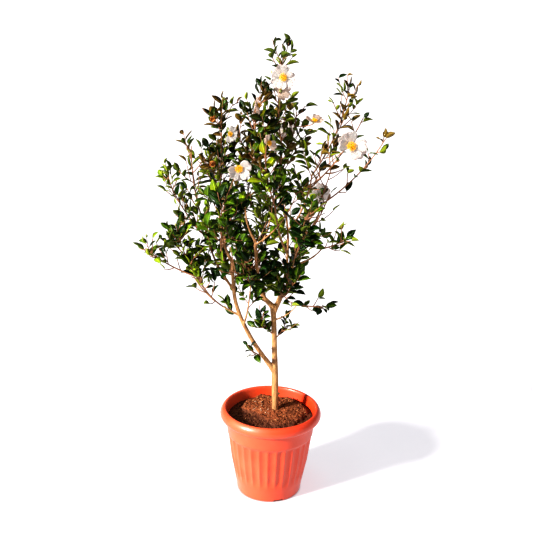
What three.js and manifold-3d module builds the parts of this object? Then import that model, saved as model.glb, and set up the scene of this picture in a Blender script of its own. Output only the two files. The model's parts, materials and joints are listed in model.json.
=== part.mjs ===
// A camellia shrub in a fluted plastic pot, with open white flowers.
// The plant is a short trunk that forks low into two stems, boughs that rise and spread from
// them, and masses of twigs, leaves and flowers on the boughs. The pot, the soil with its root
// ball, the trunk, each bough and each mass is one closed solid.
// Millimetres, +Z up, -Y towards the viewer. The origin is the centre of the pot's underside.

import * as THREE from "three";
import { mergeVertices } from "three/addons/utils/BufferGeometryUtils.js";
import Module from "manifold-3d";

const wasm = await Module();
wasm.setup();

const FULL_TURN = 2 * Math.PI;
const GOLDEN_ANGLE = Math.PI * (3 - Math.sqrt(5)); // from one twig or leaf to the next round a stem
const SEAT_GAP = 0.35; // between two solids that touch on the real plant

// The pot: a 30 cm plastic planter with a rolled rim and concave flutes.
const POT = { mouth: 132, top: 266, floor: 8, above: 280, flutes: 30, fluteDepth: 3.2, turn: 0.056 };
const POT_OUTLINE = [ // radius and height of the outside, from the foot to the rim's inner edge
  [93, 0], [96, 6], [99, 26], [104, 50], [115, 104], [125, 182], [127, 190], [132, 234],
  [143, 238], [150, 249], [146, 263], [139, 270], [POT.mouth, POT.top],
];
const POT_INSIDE = [
  [86, POT.floor], [97, 52], [117, 182], [126, 234], [POT.mouth, POT.top], [POT.mouth, POT.above],
];
const FLUTED = { from: 51, to: 183 }; // heights between which the flutes run
const DRAIN = { slots: 4, width: 30, height: 4, depth: 16, radius: 96, turn: -0.48 };

// The soil fills the pot, and the lumpy root ball stands a little proud of it: its radii and
// heights, where its middle is, and the waves round its edge as their number and size.
const SOIL = { level: 233, edge: 125 };
const BALL = {
  outline: [[102, 231], [88, 246], [53, 250]], top: 250, centre: [8, 8], waves: [[3, 0.05], [7, 0.03]],
};

// The trunk runs from its flat cut on the soil to the fork that carries the boughs.
const TRUNK = {
  foot: [13, 17, BALL.top + SEAT_GAP], fork: [-1, 8, 584], bow: [2, -2, 0],
  footRadius: 10.6, forkRadius: 7.6, flare: 0.3, flareHeight: 9, collar: 0.14, sides: 12, rings: 13,
};

// Each bough: the limb it grows from and how far along, its tip, and its radius at both ends.
// A bough leaves its limb wide and turns up, unless it is drawn through the points in via.
const BOUGHS = {
  left_stem: {
    from: "trunk", at: 0.385, via: [[-61, -8, 490], [-107, -25, 606]], tip: [-120, -32, 735],
    radii: [6.8, 4.4],
  },
  left_stem_top: { from: "left_stem", at: 1, tip: [-156, -22, 872], radii: [4.2, 3] },
  left_low_bough: { from: "left_stem", at: 0.56, tip: [-226, -60, 700], radii: [3.4, 2.4] },
  left_side_bough: { from: "left_stem", at: 0.78, tip: [-200, 16, 826], radii: [3.4, 2.6] },
  left_front_bough: { from: "left_stem", at: 0.9, tip: [-146, -122, 800], radii: [3, 2.2] },
  inner_left_bough: { from: "left_stem", at: 0.48, tip: [-66, -86, 684], radii: [3.2, 2.4] },
  middle_stem: {
    from: "trunk", at: 1, via: [[-34, 12, 622], [-50, 18, 700]], tip: [-57, 22, 780], radii: [6.6, 4.4],
  },
  middle_stem_top: { from: "middle_stem", at: 1, tip: [-86, 8, 890], radii: [4.1, 3] },
  centre_bough: { from: "middle_stem", at: 0.82, tip: [-8, 48, 930], radii: [3.2, 2.4] },
  crossing_bough: { from: "middle_stem", at: 0.95, tip: [54, -62, 945], radii: [3, 2.2] },
  back_left_bough: { from: "middle_stem", at: 0.56, tip: [-116, 138, 780], radii: [3.6, 2.6] },
  back_low_bough: { from: "middle_stem", at: 0.24, tip: [-36, 124, 690], radii: [3.4, 2.4] },
  leader: { from: "trunk", at: 0.97, tip: [30, 18, 850], radii: [4.8, 3.4] },
  leader_top: { from: "leader", at: 1, tip: [14, 20, 1044], radii: [3.1, 2.2] },
  front_high_bough: { from: "leader", at: 0.66, tip: [-4, -94, 915], radii: [3, 2.2] },
  back_right_bough: { from: "leader", at: 0.36, tip: [80, 138, 775], radii: [3.4, 2.4] },
  high_right_bough: { from: "leader", at: 0.88, tip: [94, -40, 990], radii: [2.8, 2.2] },
  right_stem: { from: "trunk", at: 0.93, via: [[37, -8, 664]], tip: [70, -18, 798], radii: [4.6, 3.4] },
  right_stem_top: { from: "right_stem", at: 1, tip: [124, -20, 902], radii: [3.1, 2.4] },
  right_front_bough: { from: "right_stem", at: 0.5, tip: [50, -120, 772], radii: [3, 2.2] },
  right_mid_bough: { from: "right_stem", at: 0.72, tip: [128, -56, 786], radii: [2.6, 2] },
  right_low_bough: { from: "trunk", at: 0.88, tip: [66, -24, 606], radii: [2.6, 2] },
};
const BOUGH = { sides: 6, rings: 6, outward: 0.07, down: 0.04 }; // the bow, as shares of the length

// Each mass: the limb it grows from (at that limb's tip, or partway along a stem), the tip of
// its last leaf, the reach of its side twigs with their leaves, and how many twigs there are.
const MASSES = {
  top_mass: { from: "leader_top", tip: [8, 20, 1346], reach: 80, twigs: 9 },
  inner_high_mass: { from: "middle_stem_top", tip: [-60, -40, 1225], reach: 98, twigs: 9 },
  high_left_mass: { from: "left_stem_top", tip: [-154, 20, 1190], reach: 94, twigs: 9 },
  left_shoulder_mass: { from: "left_side_bough", tip: [-240, -24, 1096], reach: 84, twigs: 8 },
  left_far_mass: { from: "left_side_bough", at: 0.8, tip: [-326, 34, 990], reach: 80, twigs: 8 },
  left_low_mass: { from: "left_low_bough", tip: [-392, -66, 800], reach: 78, twigs: 8 },
  left_under_mass: { from: "left_low_bough", at: 0.5, tip: [-286, -80, 880], reach: 84, twigs: 7 },
  front_left_mass: { from: "left_front_bough", tip: [-140, -240, 990], reach: 104, twigs: 9 },
  front_low_mass: { from: "inner_left_bough", tip: [-84, -196, 815], reach: 96, twigs: 8 },
  centre_mass: { from: "centre_bough", tip: [60, 70, 1180], reach: 90, twigs: 8 },
  back_left_mass: { from: "back_left_bough", tip: [-215, 235, 1000], reach: 108, twigs: 9 },
  back_low_mass: { from: "back_low_bough", tip: [-40, 278, 850], reach: 104, twigs: 8 },
  back_high_mass: { from: "leader", at: 0.93, tip: [-20, 190, 1140], reach: 98, twigs: 8 },
  front_high_mass: { from: "front_high_bough", tip: [-42, -190, 1110], reach: 92, twigs: 9 },
  front_right_mass: { from: "right_front_bough", tip: [78, -244, 960], reach: 98, twigs: 8 },
  back_right_mass: { from: "back_right_bough", tip: [178, 222, 985], reach: 108, twigs: 8 },
  high_right_mass: { from: "high_right_bough", tip: [198, -20, 1254], reach: 70, twigs: 8 },
  high_side_mass: { from: "high_right_bough", at: 0.8, tip: [254, 44, 1166], reach: 66, twigs: 7 },
  flower_side_mass: { from: "crossing_bough", tip: [180, -132, 1080], reach: 78, twigs: 7 },
  right_mass: { from: "right_stem_top", tip: [316, -10, 1118], reach: 56, twigs: 8 },
  right_inner_mass: { from: "right_stem", at: 0.9, tip: [168, 72, 940], reach: 84, twigs: 7 },
  right_mid_mass: { from: "right_mid_bough", tip: [224, -72, 836], reach: 76, twigs: 7 },
  right_low_mass: { from: "right_low_bough", tip: [186, -22, 600], reach: 62, twigs: 5 },
  low_centre_mass: { from: "right_stem", at: 0.28, tip: [56, -168, 738], reach: 90, twigs: 7 },
  low_left_mass: { from: "left_low_bough", at: 0.3, tip: [-226, -130, 748], reach: 88, twigs: 7 },
  fork_sprig: { from: "trunk", at: 0.74, tip: [-54, -34, 594], reach: 60, twigs: 3 },
  left_sprig: { from: "left_stem", at: 0.16, tip: [-92, -26, 480], reach: 62, twigs: 3 },
  right_sprig: { from: "trunk", at: 0.7, tip: [56, -4, 574], reach: 60, twigs: 3 },
};
const FULL = { foot: 0.12, tip: 0.86, least: 0.5, points: 13 }; // how a mass fills along its stem
const STEM = { radii: [2.2, 1.4], outward: 0.05, down: 0.03, firstTwig: 0.1, lastTwig: 0.94 };
const TWIG = {
  radii: [1.7, 1.25], angle: 0.95, lift: 0.3, share: [0.66, 0.92], leafRoom: 0.45, least: 14,
  leaves: 4, firstLeaf: 0.3, lastLeaf: 0.85,
};
const BUD = { sunk: 0.5, up: 0.9, height: 1.8, most: 0.6 }; // on its shoot, and its hole in the skin
const LEAF = {
  length: 50, sizes: [0.9, 1.14], width: 0.58, widestAt: 0.46, droop: 0.04, beyondStem: 0.8,
  angle: 0.88, endAngle: 0.15, wider: 0.2, outward: 0.7,
};
const TWIG_CUTS = [1, 0.75, 0.5]; // a twig that finds no room is tried again at these lengths
const LEAF_CUTS = [1, 0.85, 0.7]; // and a leaf at these, each time at a wider angle
const ROOM = { // what they keep between them, and how close the places are that are compared
  margin: 0.06, limbToTwig: 5, limbToLeaf: 4.5, between: 5.4, step: 5, leafFoot: 0.15, rows: 8, columns: 5,
};

// Each flower: its mass, its centre, the way it faces, and its diameter.
const FLOWERS = [
  { mass: "top_mass", centre: [12, -34, 1250], faces: [-0.1, -1, 0.1], size: 66 },
  { mass: "flower_side_mass", centre: [190, -132, 1092], faces: [0.1, -1, 0.15], size: 76 },
  { mass: "front_left_mass", centre: [-90, -232, 1032], faces: [-0.1, -1, 0.35], size: 66 },
  { mass: "centre_mass", centre: [98, 10, 1142], faces: [0.7, -0.5, 0.5], size: 60 },
  { mass: "high_left_mass", centre: [-124, -72, 1106], faces: [0.3, -0.9, 0.3], size: 54 },
  { mass: "inner_high_mass", centre: [-48, -88, 1180], faces: [-0.7, -0.6, 0.2], size: 54 },
  { mass: "front_high_mass", centre: [-16, -215, 1106], faces: [-0.6, -0.7, 0.2], size: 58 },
  { mass: "back_high_mass", centre: [40, 216, 1092], faces: [0.2, 1, 0.2], size: 68 },
  { mass: "back_left_mass", centre: [-180, 262, 940], faces: [-0.3, 1, 0.3], size: 64 },
  { mass: "back_right_mass", centre: [206, 236, 905], faces: [0.6, 0.8, 0.2], size: 66 },
];
const FLOWER = {
  petals: 6, knobRadius: 0.15, knobBase: 0.06, knobTop: 0.14, cup: 0.32, space: 0.55, before: 0.4,
};
const PETAL = [[-0.5, 0.3], [-0.3, 0.46], [0, 0.5], [0.3, 0.46]]; // share of its turn, and radius
const STALK = { radii: [1.7, 1.6], out: 8, setBack: 0.1, bend: 0.25 };

const FINISHES = {
  pot: { color: 0xd9532f, roughness: 0.42 },
  soil: { color: 0x3d2619, roughness: 1 },
  bark: { color: 0xb98a5c, roughness: 0.8 },
  foliage: { color: 0x24481c, roughness: 0.45 },
};

const UP = new THREE.Vector3(0, 0, 1);
const vec = (list) => new THREE.Vector3(...list);
const mix = (from, to, share) => from + (to - from) * share;
const upTo = (count) => [...Array(count).keys()];
const spread = (from, to, count) => upTo(count).map((k) => mix(from, to, k / Math.max(count - 1, 1)));

// A stream of even numbers from 0 to 1 that is the same on every run.
function stream(seed) {
  let state = Math.imul(seed + 1, 2654435761) >>> 0;
  return () => {
    state = (Math.imul(state, 1664525) + 1013904223) >>> 0;
    return state / 4294967296;
  };
}

// A closed shape whose points are shared, as a solid that can be cut.
function solidOf(geometry) {
  return new wasm.Manifold(new wasm.Mesh({
    numProp: 3,
    vertProperties: new Float32Array(geometry.getAttribute("position").array),
    triVerts: new Uint32Array(geometry.index.array),
  }));
}

// A three.js shape, whose points are not shared yet, as a solid.
function solidOfShape(geometry) {
  geometry.deleteAttribute("normal");
  geometry.deleteAttribute("uv");
  return solidOf(mergeVertices(geometry, 1e-3));
}

function geometryOf(solid) {
  const mesh = solid.getMesh();
  const geometry = new THREE.BufferGeometry();
  geometry.setAttribute("position", new THREE.BufferAttribute(new Float32Array(mesh.vertProperties), 3));
  geometry.setIndex(new THREE.BufferAttribute(new Uint32Array(mesh.triVerts), 1));
  return geometry;
}

// A profile of radii and heights that starts and ends on the axis, turned about +Z.
function turned(profile, segments) {
  const shape = new THREE.LatheGeometry(profile.map(([r, z]) => new THREE.Vector2(r, z)), segments);
  return shape.rotateX(Math.PI / 2);
}

// Moves each point of a shape: place(point) changes the point that it is given.
function reshaped(geometry, place) {
  const position = geometry.getAttribute("position");
  const point = new THREE.Vector3();
  for (let i = 0; i < position.count; i++) {
    place(point.fromBufferAttribute(position, i));
    position.setXYZ(i, point.x, point.y, point.z);
  }
  return geometry;
}

function makePot() {
  const body = reshaped(turned([[0, 0], ...POT_OUTLINE, [0, POT.top]], POT.flutes * 2), (point) => {
    const step = Math.round((Math.atan2(point.y, point.x) / Math.PI) * POT.flutes);
    const radius = Math.hypot(point.x, point.y);
    if (step % 2 === 0 || point.z < FLUTED.from || point.z > FLUTED.to) return;
    point.x *= 1 - POT.fluteDepth / radius;
    point.y *= 1 - POT.fluteDepth / radius;
  }).rotateZ(POT.turn);
  const inside = turned([[0, POT.floor], ...POT_INSIDE, [0, POT.above]], POT.flutes);
  let pot = solidOfShape(body).subtract(solidOfShape(inside));
  for (const k of upTo(DRAIN.slots)) {
    const slot = new THREE.BoxGeometry(DRAIN.depth * 2, DRAIN.width, DRAIN.height * 2);
    slot.translate(DRAIN.radius, 0, 0).rotateZ((FULL_TURN * (k + 0.5)) / DRAIN.slots + DRAIN.turn);
    pot = pot.subtract(solidOfShape(slot));
  }
  return pot;
}

function makeSoil() {
  const wall = POT_INSIDE.slice(0, 3).map(([r, z]) => [r - SEAT_GAP, z]);
  wall[0][1] += SEAT_GAP;
  const foot = BALL.outline[0];
  const profile = [[0, wall[0][1]], ...wall, [SOIL.edge, SOIL.level], ...BALL.outline, [0, BALL.top]];
  return solidOfShape(reshaped(turned(profile, POT.flutes), (point) => {
    if (point.z < foot[1] - 1 || Math.hypot(point.x, point.y) > foot[0] + 1) return;
    const turn = Math.atan2(point.y, point.x);
    const lump = BALL.waves.reduce((sum, [count, size]) => sum + size * Math.sin(count * turn + 1), 1);
    point.x = point.x * lump + BALL.centre[0];
    point.y = point.y * lump + BALL.centre[1];
  }));
}

// A closed skin in the making: its points, and its triangles, counterclockwise from outside.
class Skin {
  points = [];
  faces = [];
  addPoints(places) {
    this.points.push(...places);
    return places.map((_, i) => this.points.length - places.length + i);
  }
  addFan(first, corners) {
    for (let i = 1; i < corners.length; i++) this.faces.push([first, corners[i - 1], corners[i]]);
  }
  middleOf(corners) {
    const sum = corners.reduce((total, i) => total.add(this.points[i]), new THREE.Vector3());
    return sum.multiplyScalar(1 / corners.length);
  }
  // Joins two rings side by side, and returns the corners of the side that is left open.
  addWall(below, above, open = -1) {
    let opening = null;
    below.forEach((corner, i) => {
      const next = (i + 1) % below.length;
      if (i === open) opening = [corner, below[next], above[next], above[i]];
      else this.addFan(corner, [below[next], above[next], above[i]]);
    });
    return opening;
  }
  solid() {
    const geometry = new THREE.BufferGeometry().setFromPoints(this.points);
    return solidOf(geometry.setIndex(this.faces.flat()));
  }
}

// A direction square to another.
function squareTo(direction) {
  const other = Math.abs(direction.z) > 0.9 ? vec([0, 1, 0]) : UP;
  return new THREE.Vector3().crossVectors(direction, other).normalize();
}

// Points along a curve, each with the curve's way there and a side direction that follows the
// bends without turning round the curve.
function frames(curve, side, shares) {
  let last = side;
  return shares.map((share) => {
    const along = curve.getTangent(share);
    last = last.clone().projectOnPlane(along).normalize();
    return { share, centre: curve.getPoint(share), along, side: last };
  });
}

// The ring of points round a frame, from the side direction turned by turn.
function ringAt({ centre, along, side }, radius, sides, turn = 0) {
  return spread(turn, turn + FULL_TURN * (1 - 1 / sides), sides)
    .map((angle) => side.clone().applyAxisAngle(along, angle).multiplyScalar(radius).add(centre));
}

// A limb as a tapering tube with flat ends. The gap makes it the room that the limb needs.
function makeLimb({ curve, radiusAt, sides, rings }, gap = 0) {
  const skin = new Skin();
  const all = frames(curve, squareTo(curve.getTangent(0)), spread(0, 1, rings))
    .map((frame) => skin.addPoints(ringAt(frame, radiusAt(frame.share) + gap, sides)));
  all.slice(1).forEach((ring, k) => skin.addWall(all[k], ring));
  const [foot, tip] = [all[0].toReversed(), all[rings - 1]];
  skin.addFan(foot[0], foot.slice(1));
  skin.addFan(tip[0], tip.slice(1));
  return skin.solid();
}

// The curve from start to tip whose middle is pushed aside by bow.
function bowed(start, tip, bow) {
  const middle = start.clone().add(tip).multiplyScalar(0.5).addScaledVector(bow, 2);
  return new THREE.QuadraticBezierCurve3(start, middle, tip);
}

// The curve of a shoot that leaves its limb wide and turns up, bowed by shares of its length.
function risingCurve(start, tip, { outward, down }) {
  const length = start.distanceTo(tip);
  const bow = tip.clone().sub(start).setZ(0).setLength(outward * length).setZ(-down * length);
  return bowed(start, tip, bow);
}

// Where a limb's child starts: on its axis, or just beyond its tip.
function startOn({ curve }, at) {
  const start = curve.getPoint(at);
  return at < 1 ? start : start.addScaledVector(curve.getTangent(1), SEAT_GAP);
}

function trunkRadius(share) {
  const height = share * (TRUNK.fork[2] - TRUNK.foot[2]);
  const straight = mix(TRUNK.footRadius, TRUNK.forkRadius, THREE.MathUtils.smoothstep(share, 0.2, 0.62));
  const flare = TRUNK.flare * Math.exp(-height / TRUNK.flareHeight);
  return straight * (1 + flare + TRUNK.collar * THREE.MathUtils.smoothstep(share, 0.9, 1));
}

// Every limb by name: its curve, its radius along it, and its sides and rings.
function planLimbs() {
  const limbs = new Map();
  const curve = bowed(vec(TRUNK.foot).setZ(TRUNK.foot[2] - 2), vec(TRUNK.fork), vec(TRUNK.bow));
  limbs.set("trunk", { curve, radiusAt: trunkRadius, sides: TRUNK.sides, rings: TRUNK.rings });
  for (const [name, { from, at, via, tip, radii }] of Object.entries(BOUGHS)) {
    const start = startOn(limbs.get(from), at);
    const drawn = via && new THREE.CatmullRomCurve3([start, ...via.map(vec), vec(tip)]);
    const radiusAt = (share) => mix(...radii, share);
    limbs.set(name, { curve: drawn ?? risingCurve(start, vec(tip), BOUGH), radiusAt, ...BOUGH });
  }
  return limbs;
}

const limbs = planLimbs();
const limbLines = [...limbs.values()].map(({ curve, radiusAt }) => ({ line: placesOn(curve), radiusAt }));

// Places along a curve, a step apart.
function placesOn(curve) {
  return curve.getPoints(Math.ceil(curve.getLength() / ROOM.step));
}

// How full a mass is along its stem: slim at the foot, fullest past halfway, slimmer at the tip.
function bulge(share) {
  return mix(FULL.least, 1, Math.sin(Math.PI * mix(FULL.foot, FULL.tip, share)));
}

// Each mass's stem, and its space: points along the stem, each with the reach of the mass there.
const stems = new Map(Object.entries(MASSES).map(([name, { from, at, tip, reach }]) => {
  const start = startOn(limbs.get(from), at ?? 1);
  const way = vec(tip).sub(start).normalize();
  const curve = risingCurve(start, vec(tip).addScaledVector(way, -LEAF.length * LEAF.beyondStem), STEM);
  const space = spread(0, 1, FULL.points)
    .map((share) => ({ place: curve.getPoint(share), reach: reach * bulge(share) }));
  return [name, { curve, space }];
}));

// How deep a place lies in a mass's space: 0 on the stem, 1 at the edge.
function depthIn(name, place) {
  return Math.min(...stems.get(name).space.map((point) => point.place.distanceTo(place) / point.reach));
}

// True where a place is in a mass's own space, and clear of flowers and limbs.
function isFree(name, place, limbGap) {
  const own = depthIn(name, place);
  if (own > 1) return false;
  for (const other of stems.keys()) {
    if (other !== name && depthIn(other, place) < own + ROOM.margin) return false;
  }
  const inFlower = FLOWERS.some(({ centre, faces, size }) => {
    const before = vec(centre).addScaledVector(vec(faces).normalize(), size * FLOWER.before);
    return [vec(centre), before].some((middle) => middle.distanceTo(place) < size * FLOWER.space);
  });
  const inLimb = limbLines.some(({ line, radiusAt }) => line
    .some((point, k) => point.distanceTo(place) < radiusAt(k / (line.length - 1)) + limbGap));
  return !inFlower && !inLimb;
}

// What is placed already: for each leaf, twig, stalk and stem, the places spread over it, a
// sphere round them, and its owner.
const placed = [];

function sphereOf(places) {
  return new THREE.Box3().setFromPoints(places).getBoundingSphere(new THREE.Sphere());
}

function put(places, owner) {
  placed.push({ places, owner, sphere: sphereOf(places) });
}

// True where places keep apart from all that is placed, other than their owner's own shoot.
function isApart(places, owner) {
  const sphere = sphereOf(places);
  sphere.radius += ROOM.between;
  return placed.every((other) => other.owner === owner || !other.sphere.intersectsSphere(sphere)
    || places.every((place) => other.places.every((spot) => spot.distanceTo(place) > ROOM.between)));
}

// A shoot: its curve and radii, the side that its turns are counted from, and its buds, by the
// golden angle round it. A bud's number gives its turn, and the last bud ends the shoot.
function planShoot(curve, side, radii, shares) {
  const buds = frames(curve, side, shares).map(({ share, centre, along, side: here }, number) => {
    const out = here.clone().applyAxisAngle(along, FULL_TURN / 6 + GOLDEN_ANGLE * number);
    const base = centre.addScaledVector(out, mix(...radii, share) * BUD.sunk).addScaledVector(along, BUD.up);
    return { number, share, base, along, out };
  });
  const [base, along] = [curve.getPoint(1), curve.getTangent(1)];
  const end = { number: buds.length, share: 1, base, along, out: squareTo(along), isEnd: true };
  return { curve, side, radii, buds: [...buds, end] };
}

// A twig that leaves its bud at an angle and lifts, shorter where there is no room, or null.
function planTwig(name, stem, { base, along, out }, fullLength) {
  const way = along.clone().multiplyScalar(Math.cos(TWIG.angle)).addScaledVector(out, Math.sin(TWIG.angle));
  for (const cut of TWIG_CUTS) {
    const length = Math.max(TWIG.least, fullLength * cut);
    const middle = base.clone().addScaledVector(way, length * 0.5);
    const tip = base.clone().addScaledVector(way, length).addScaledVector(UP, TWIG.lift * length);
    const curve = new THREE.QuadraticBezierCurve3(base, middle, tip);
    const places = placesOn(curve).slice(2);
    const hasRoom = places.every((place) => isFree(name, place, ROOM.limbToTwig)) && isApart(places, stem);
    if (!hasRoom) continue;
    const twig = planShoot(curve, along, TWIG.radii, spread(TWIG.firstLeaf, TWIG.lastLeaf, TWIG.leaves));
    put(places, twig);
    return twig;
  }
  return null;
}

// A flower on its bud, with the curve of its stalk, which bends round to come in from behind.
function planFlower(bud, flower) {
  const facing = vec(flower.faces).normalize();
  const back = vec(flower.centre).addScaledVector(facing, -flower.size * STALK.setBack);
  const bend = back.clone().addScaledVector(facing, -flower.size * STALK.bend);
  const start = bud.base.clone().addScaledVector(bud.out, STALK.out);
  bud.flower = flower;
  bud.stalk = new THREE.CubicBezierCurve3(bud.base, start, bend, back);
  put(placesOn(bud.stalk).slice(1), bud);
}

// A mass's stem with its twigs, and its flowers on the buds that face them best.
function planMass(name, seed) {
  const { reach, twigs } = MASSES[name];
  const { curve } = stems.get(name);
  const draw = stream(seed);
  const side = squareTo(curve.getTangent(0)).applyAxisAngle(curve.getTangent(0), draw() * FULL_TURN);
  const stem = planShoot(curve, side, STEM.radii, spread(STEM.firstTwig, STEM.lastTwig, twigs));
  put(placesOn(curve), stem);
  for (const flower of FLOWERS.filter((one) => one.mass === name)) {
    const aim = (bud) => vec(flower.centre).sub(bud.base).normalize().dot(bud.out);
    const best = stem.buds.slice(0, -1).reduce((one, other) => (aim(other) > aim(one) ? other : one));
    planFlower(best, flower);
  }
  for (const bud of stem.buds) {
    const fullLength = reach * bulge(bud.share) * mix(...TWIG.share, draw()) - LEAF.length * TWIG.leafRoom;
    if (!bud.isEnd && !bud.flower) bud.twig = planTwig(name, stem, bud, fullLength);
  }
  return { name, seed, stem };
}

// A leaf's pose on a bud: its axis, and its face turned up and out of the crown.
function poseLeaf({ base, along, out }, angle, tilt, length) {
  const axis = along.clone().multiplyScalar(Math.cos(angle)).addScaledVector(out, Math.sin(angle));
  const outward = base.clone().setZ(0).setLength(LEAF.outward);
  const face = UP.clone().addScaledVector(out, tilt).add(outward).projectOnPlane(axis).normalize();
  const right = new THREE.Vector3().crossVectors(face, axis);
  return { base, axis, face, right, length, width: length * LEAF.width };
}

// A place on a leaf, by shares of its length and of its width.
function onLeaf({ base, axis, face, right, length, width }, along, across) {
  const drop = -LEAF.droop * length * along * along;
  return base.clone().addScaledVector(axis, along * length).addScaledVector(right, across * width)
    .addScaledVector(face, drop);
}

// Places spread over a leaf's blade, for finding what it would touch.
function leafPlaces(pose) {
  return spread(ROOM.leafFoot, 1, ROOM.rows).flatMap((along) => {
    const half = Math.min(along / LEAF.widestAt, (1 - along) / (1 - LEAF.widestAt)) / 2;
    return spread(-half, half, ROOM.columns).map((across) => onLeaf(pose, along, across));
  });
}

// Gives a shoot's free buds a leaf each where there is room, and drops the others.
function planLeaves(name, shoot, draw) {
  for (const bud of shoot.buds) {
    if (bud.twig) planLeaves(name, bud.twig, draw);
    if (bud.twig || bud.flower) continue;
    const length = LEAF.length * mix(...LEAF.sizes, draw());
    const tilt = draw() - 0.5;
    const angle = bud.isEnd ? LEAF.endAngle : LEAF.angle;
    const poses = LEAF_CUTS.map((cut, k) => poseLeaf(bud, angle + LEAF.wider * k, tilt, length * cut));
    bud.leaf = poses.find((pose) => {
      const places = leafPlaces(pose);
      return places.every((place) => isFree(name, place, ROOM.limbToLeaf)) && isApart(places, shoot);
    });
    if (bud.leaf) put(leafPlaces(bud.leaf), bud);
  }
  shoot.buds = shoot.buds.filter((bud) => bud.twig || bud.flower || bud.leaf || bud.isEnd);
}

// Pulls a three-cornered hole out into a leaf of eight faces with the hole's own: two sides and
// a tip, with the hole's highest corner running on as the rib.
function growLeaf(skin, hole, pose) {
  const height = (corner) => skin.points[corner].dot(pose.face);
  const turns = [0, 1, 2].map((k) => [hole[k], hole[(k + 1) % 3], hole[(k + 2) % 3]]);
  const [a, b, rib] = turns.reduce((best, next) => (height(next[2]) > height(best[2]) ? next : best));
  const [left, right, tip] = skin.addPoints([
    onLeaf(pose, LEAF.widestAt, -0.5), onLeaf(pose, LEAF.widestAt, 0.5), onLeaf(pose, 1, 0),
  ]);
  skin.addFan(tip, [left, a, b, right]);
  skin.addFan(rib, [a, left, tip, right, b]);
}

// Pulls a hole out into an open flower: a knob of stamens in a ring of notched petals.
function growFlower(skin, hole, { centre, faces, size }) {
  const facing = vec(faces).normalize();
  const first = skin.points[hole[0]].clone().sub(skin.middleOf(hole)).projectOnPlane(facing).normalize();
  const spot = (turn, radius, high) => first.clone().applyAxisAngle(facing, turn)
    .multiplyScalar(radius * size).addScaledVector(facing, high * size).add(vec(centre));
  const turns = spread(0, FULL_TURN * (1 - 1 / FLOWER.petals), FLOWER.petals);
  const knob = skin.addPoints(turns.map((turn) => spot(turn, FLOWER.knobRadius, FLOWER.knobBase)));
  const rim = skin.addPoints(turns.flatMap((turn) => PETAL.map(([share, radius]) => (
    spot(turn + (share * FULL_TURN) / FLOWER.petals, radius, radius * FLOWER.cup)
  ))));
  const [top] = skin.addPoints([spot(0, 0, FLOWER.knobTop)]);
  const wrapped = [...rim, rim[0]];
  knob.forEach((corner, k) => {
    const next = knob[(k + 1) % knob.length];
    const from = k * PETAL.length;
    skin.addFan(corner, [...wrapped.slice(from, from + PETAL.length + 1), next]);
    skin.addFan(top, [corner, next]);
  });
  const perCorner = rim.length / 3;
  hole.forEach((corner, k) => {
    const behind = wrapped.slice(k * perCorner, (k + 1) * perCorner + 1).toReversed();
    skin.addFan(corner, [hole[(k + 1) % 3], ...behind]);
  });
}

// Pulls a hole out along a flower's stalk and opens it into the flower.
function growStalk(skin, hole, { stalk, flower }) {
  const side = skin.points[hole[0]].clone().sub(skin.middleOf(hole));
  const [halfway, end] = frames(stalk, side, [0.5, 1])
    .map((frame) => skin.addPoints(ringAt(frame, mix(...STALK.radii, frame.share), 3)));
  skin.addWall(hole, halfway);
  skin.addWall(halfway, end);
  growFlower(skin, end, flower);
}

// Splits a shoot's open side so that only a small three-cornered hole stays at its foot.
function addBudHole(skin, [a, b, c, d], radius) {
  const foot = skin.middleOf([a, b]);
  const rise = skin.middleOf([c, d]).sub(foot);
  rise.clampLength(0, Math.min(radius * BUD.height, rise.length() * BUD.most));
  const [m] = skin.addPoints([foot.add(rise)]);
  skin.addFan(m, [b, c, d, a]);
  return [m, a, b];
}

// Grows a planned shoot from a hole, whose first corner points along its parent, or without
// one from a closed foot. At each bud's ring one side is left open above the ring for the bud.
function growShoot(skin, hole, { curve, side, radii, buds }) {
  const nodes = hole ? buds : [{ share: 0, number: 0, isFoot: true }, ...buds];
  const open = [];
  let below = hole;
  let bud = null;
  frames(curve, side, nodes.map((node) => node.share)).forEach((frame, k) => {
    const { number, isFoot } = nodes[k];
    const radius = mix(...radii, frame.share);
    const ring = skin.addPoints(ringAt(frame, radius, 3, (GOLDEN_ANGLE - FULL_TURN / 3) * number));
    if (isFoot) skin.addFan(ring[0], [ring[2], ring[1]]);
    else {
      const opening = skin.addWall(below, ring, bud ? bud.number % 3 : -1);
      if (opening) open.push({ bud, hole: addBudHole(skin, opening, radius) });
      bud = nodes[k];
    }
    below = ring;
  });
  return [...open, { bud, hole: below }];
}

// Fills the holes of a shoot with what its buds make.
function dress(skin, open) {
  for (const { bud, hole } of open) {
    if (bud.twig) dress(skin, growShoot(skin, hole, bud.twig));
    else if (bud.flower) growStalk(skin, hole, bud);
    else if (bud.leaf) growLeaf(skin, hole, bud.leaf);
    else skin.addFan(hole[0], hole.slice(1));
  }
}

function makeMass({ stem }) {
  const skin = new Skin();
  dress(skin, growShoot(skin, null, stem));
  return skin.solid();
}

const shrub = new THREE.Group();

function addPiece(name, solid, finish) {
  const material = new THREE.MeshStandardMaterial({ ...FINISHES[finish], metalness: 0 });
  const mesh = new THREE.Mesh(geometryOf(solid), material);
  mesh.name = name;
  shrub.add(mesh);
}

// A solid cut clear of the rooms of others, without the scraps that the cut leaves.
function clearOf(rooms, solid) {
  const cut = rooms.reduce((rest, room) => rest.subtract(room), solid);
  return cut.decompose().reduce((best, body) => (body.volume() > best.volume() ? body : best));
}

addPiece("pot", makePot(), "pot");
addPiece("soil", makeSoil(), "soil");

const ground = new THREE.BoxGeometry(300, 300, 100).translate(0, 0, TRUNK.foot[2] - 50);
const rooms = [solidOfShape(ground)];
for (const [name, limb] of limbs) {
  addPiece(name, clearOf(rooms, makeLimb(limb)), "bark");
  rooms.push(makeLimb(limb, SEAT_GAP));
}

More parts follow.
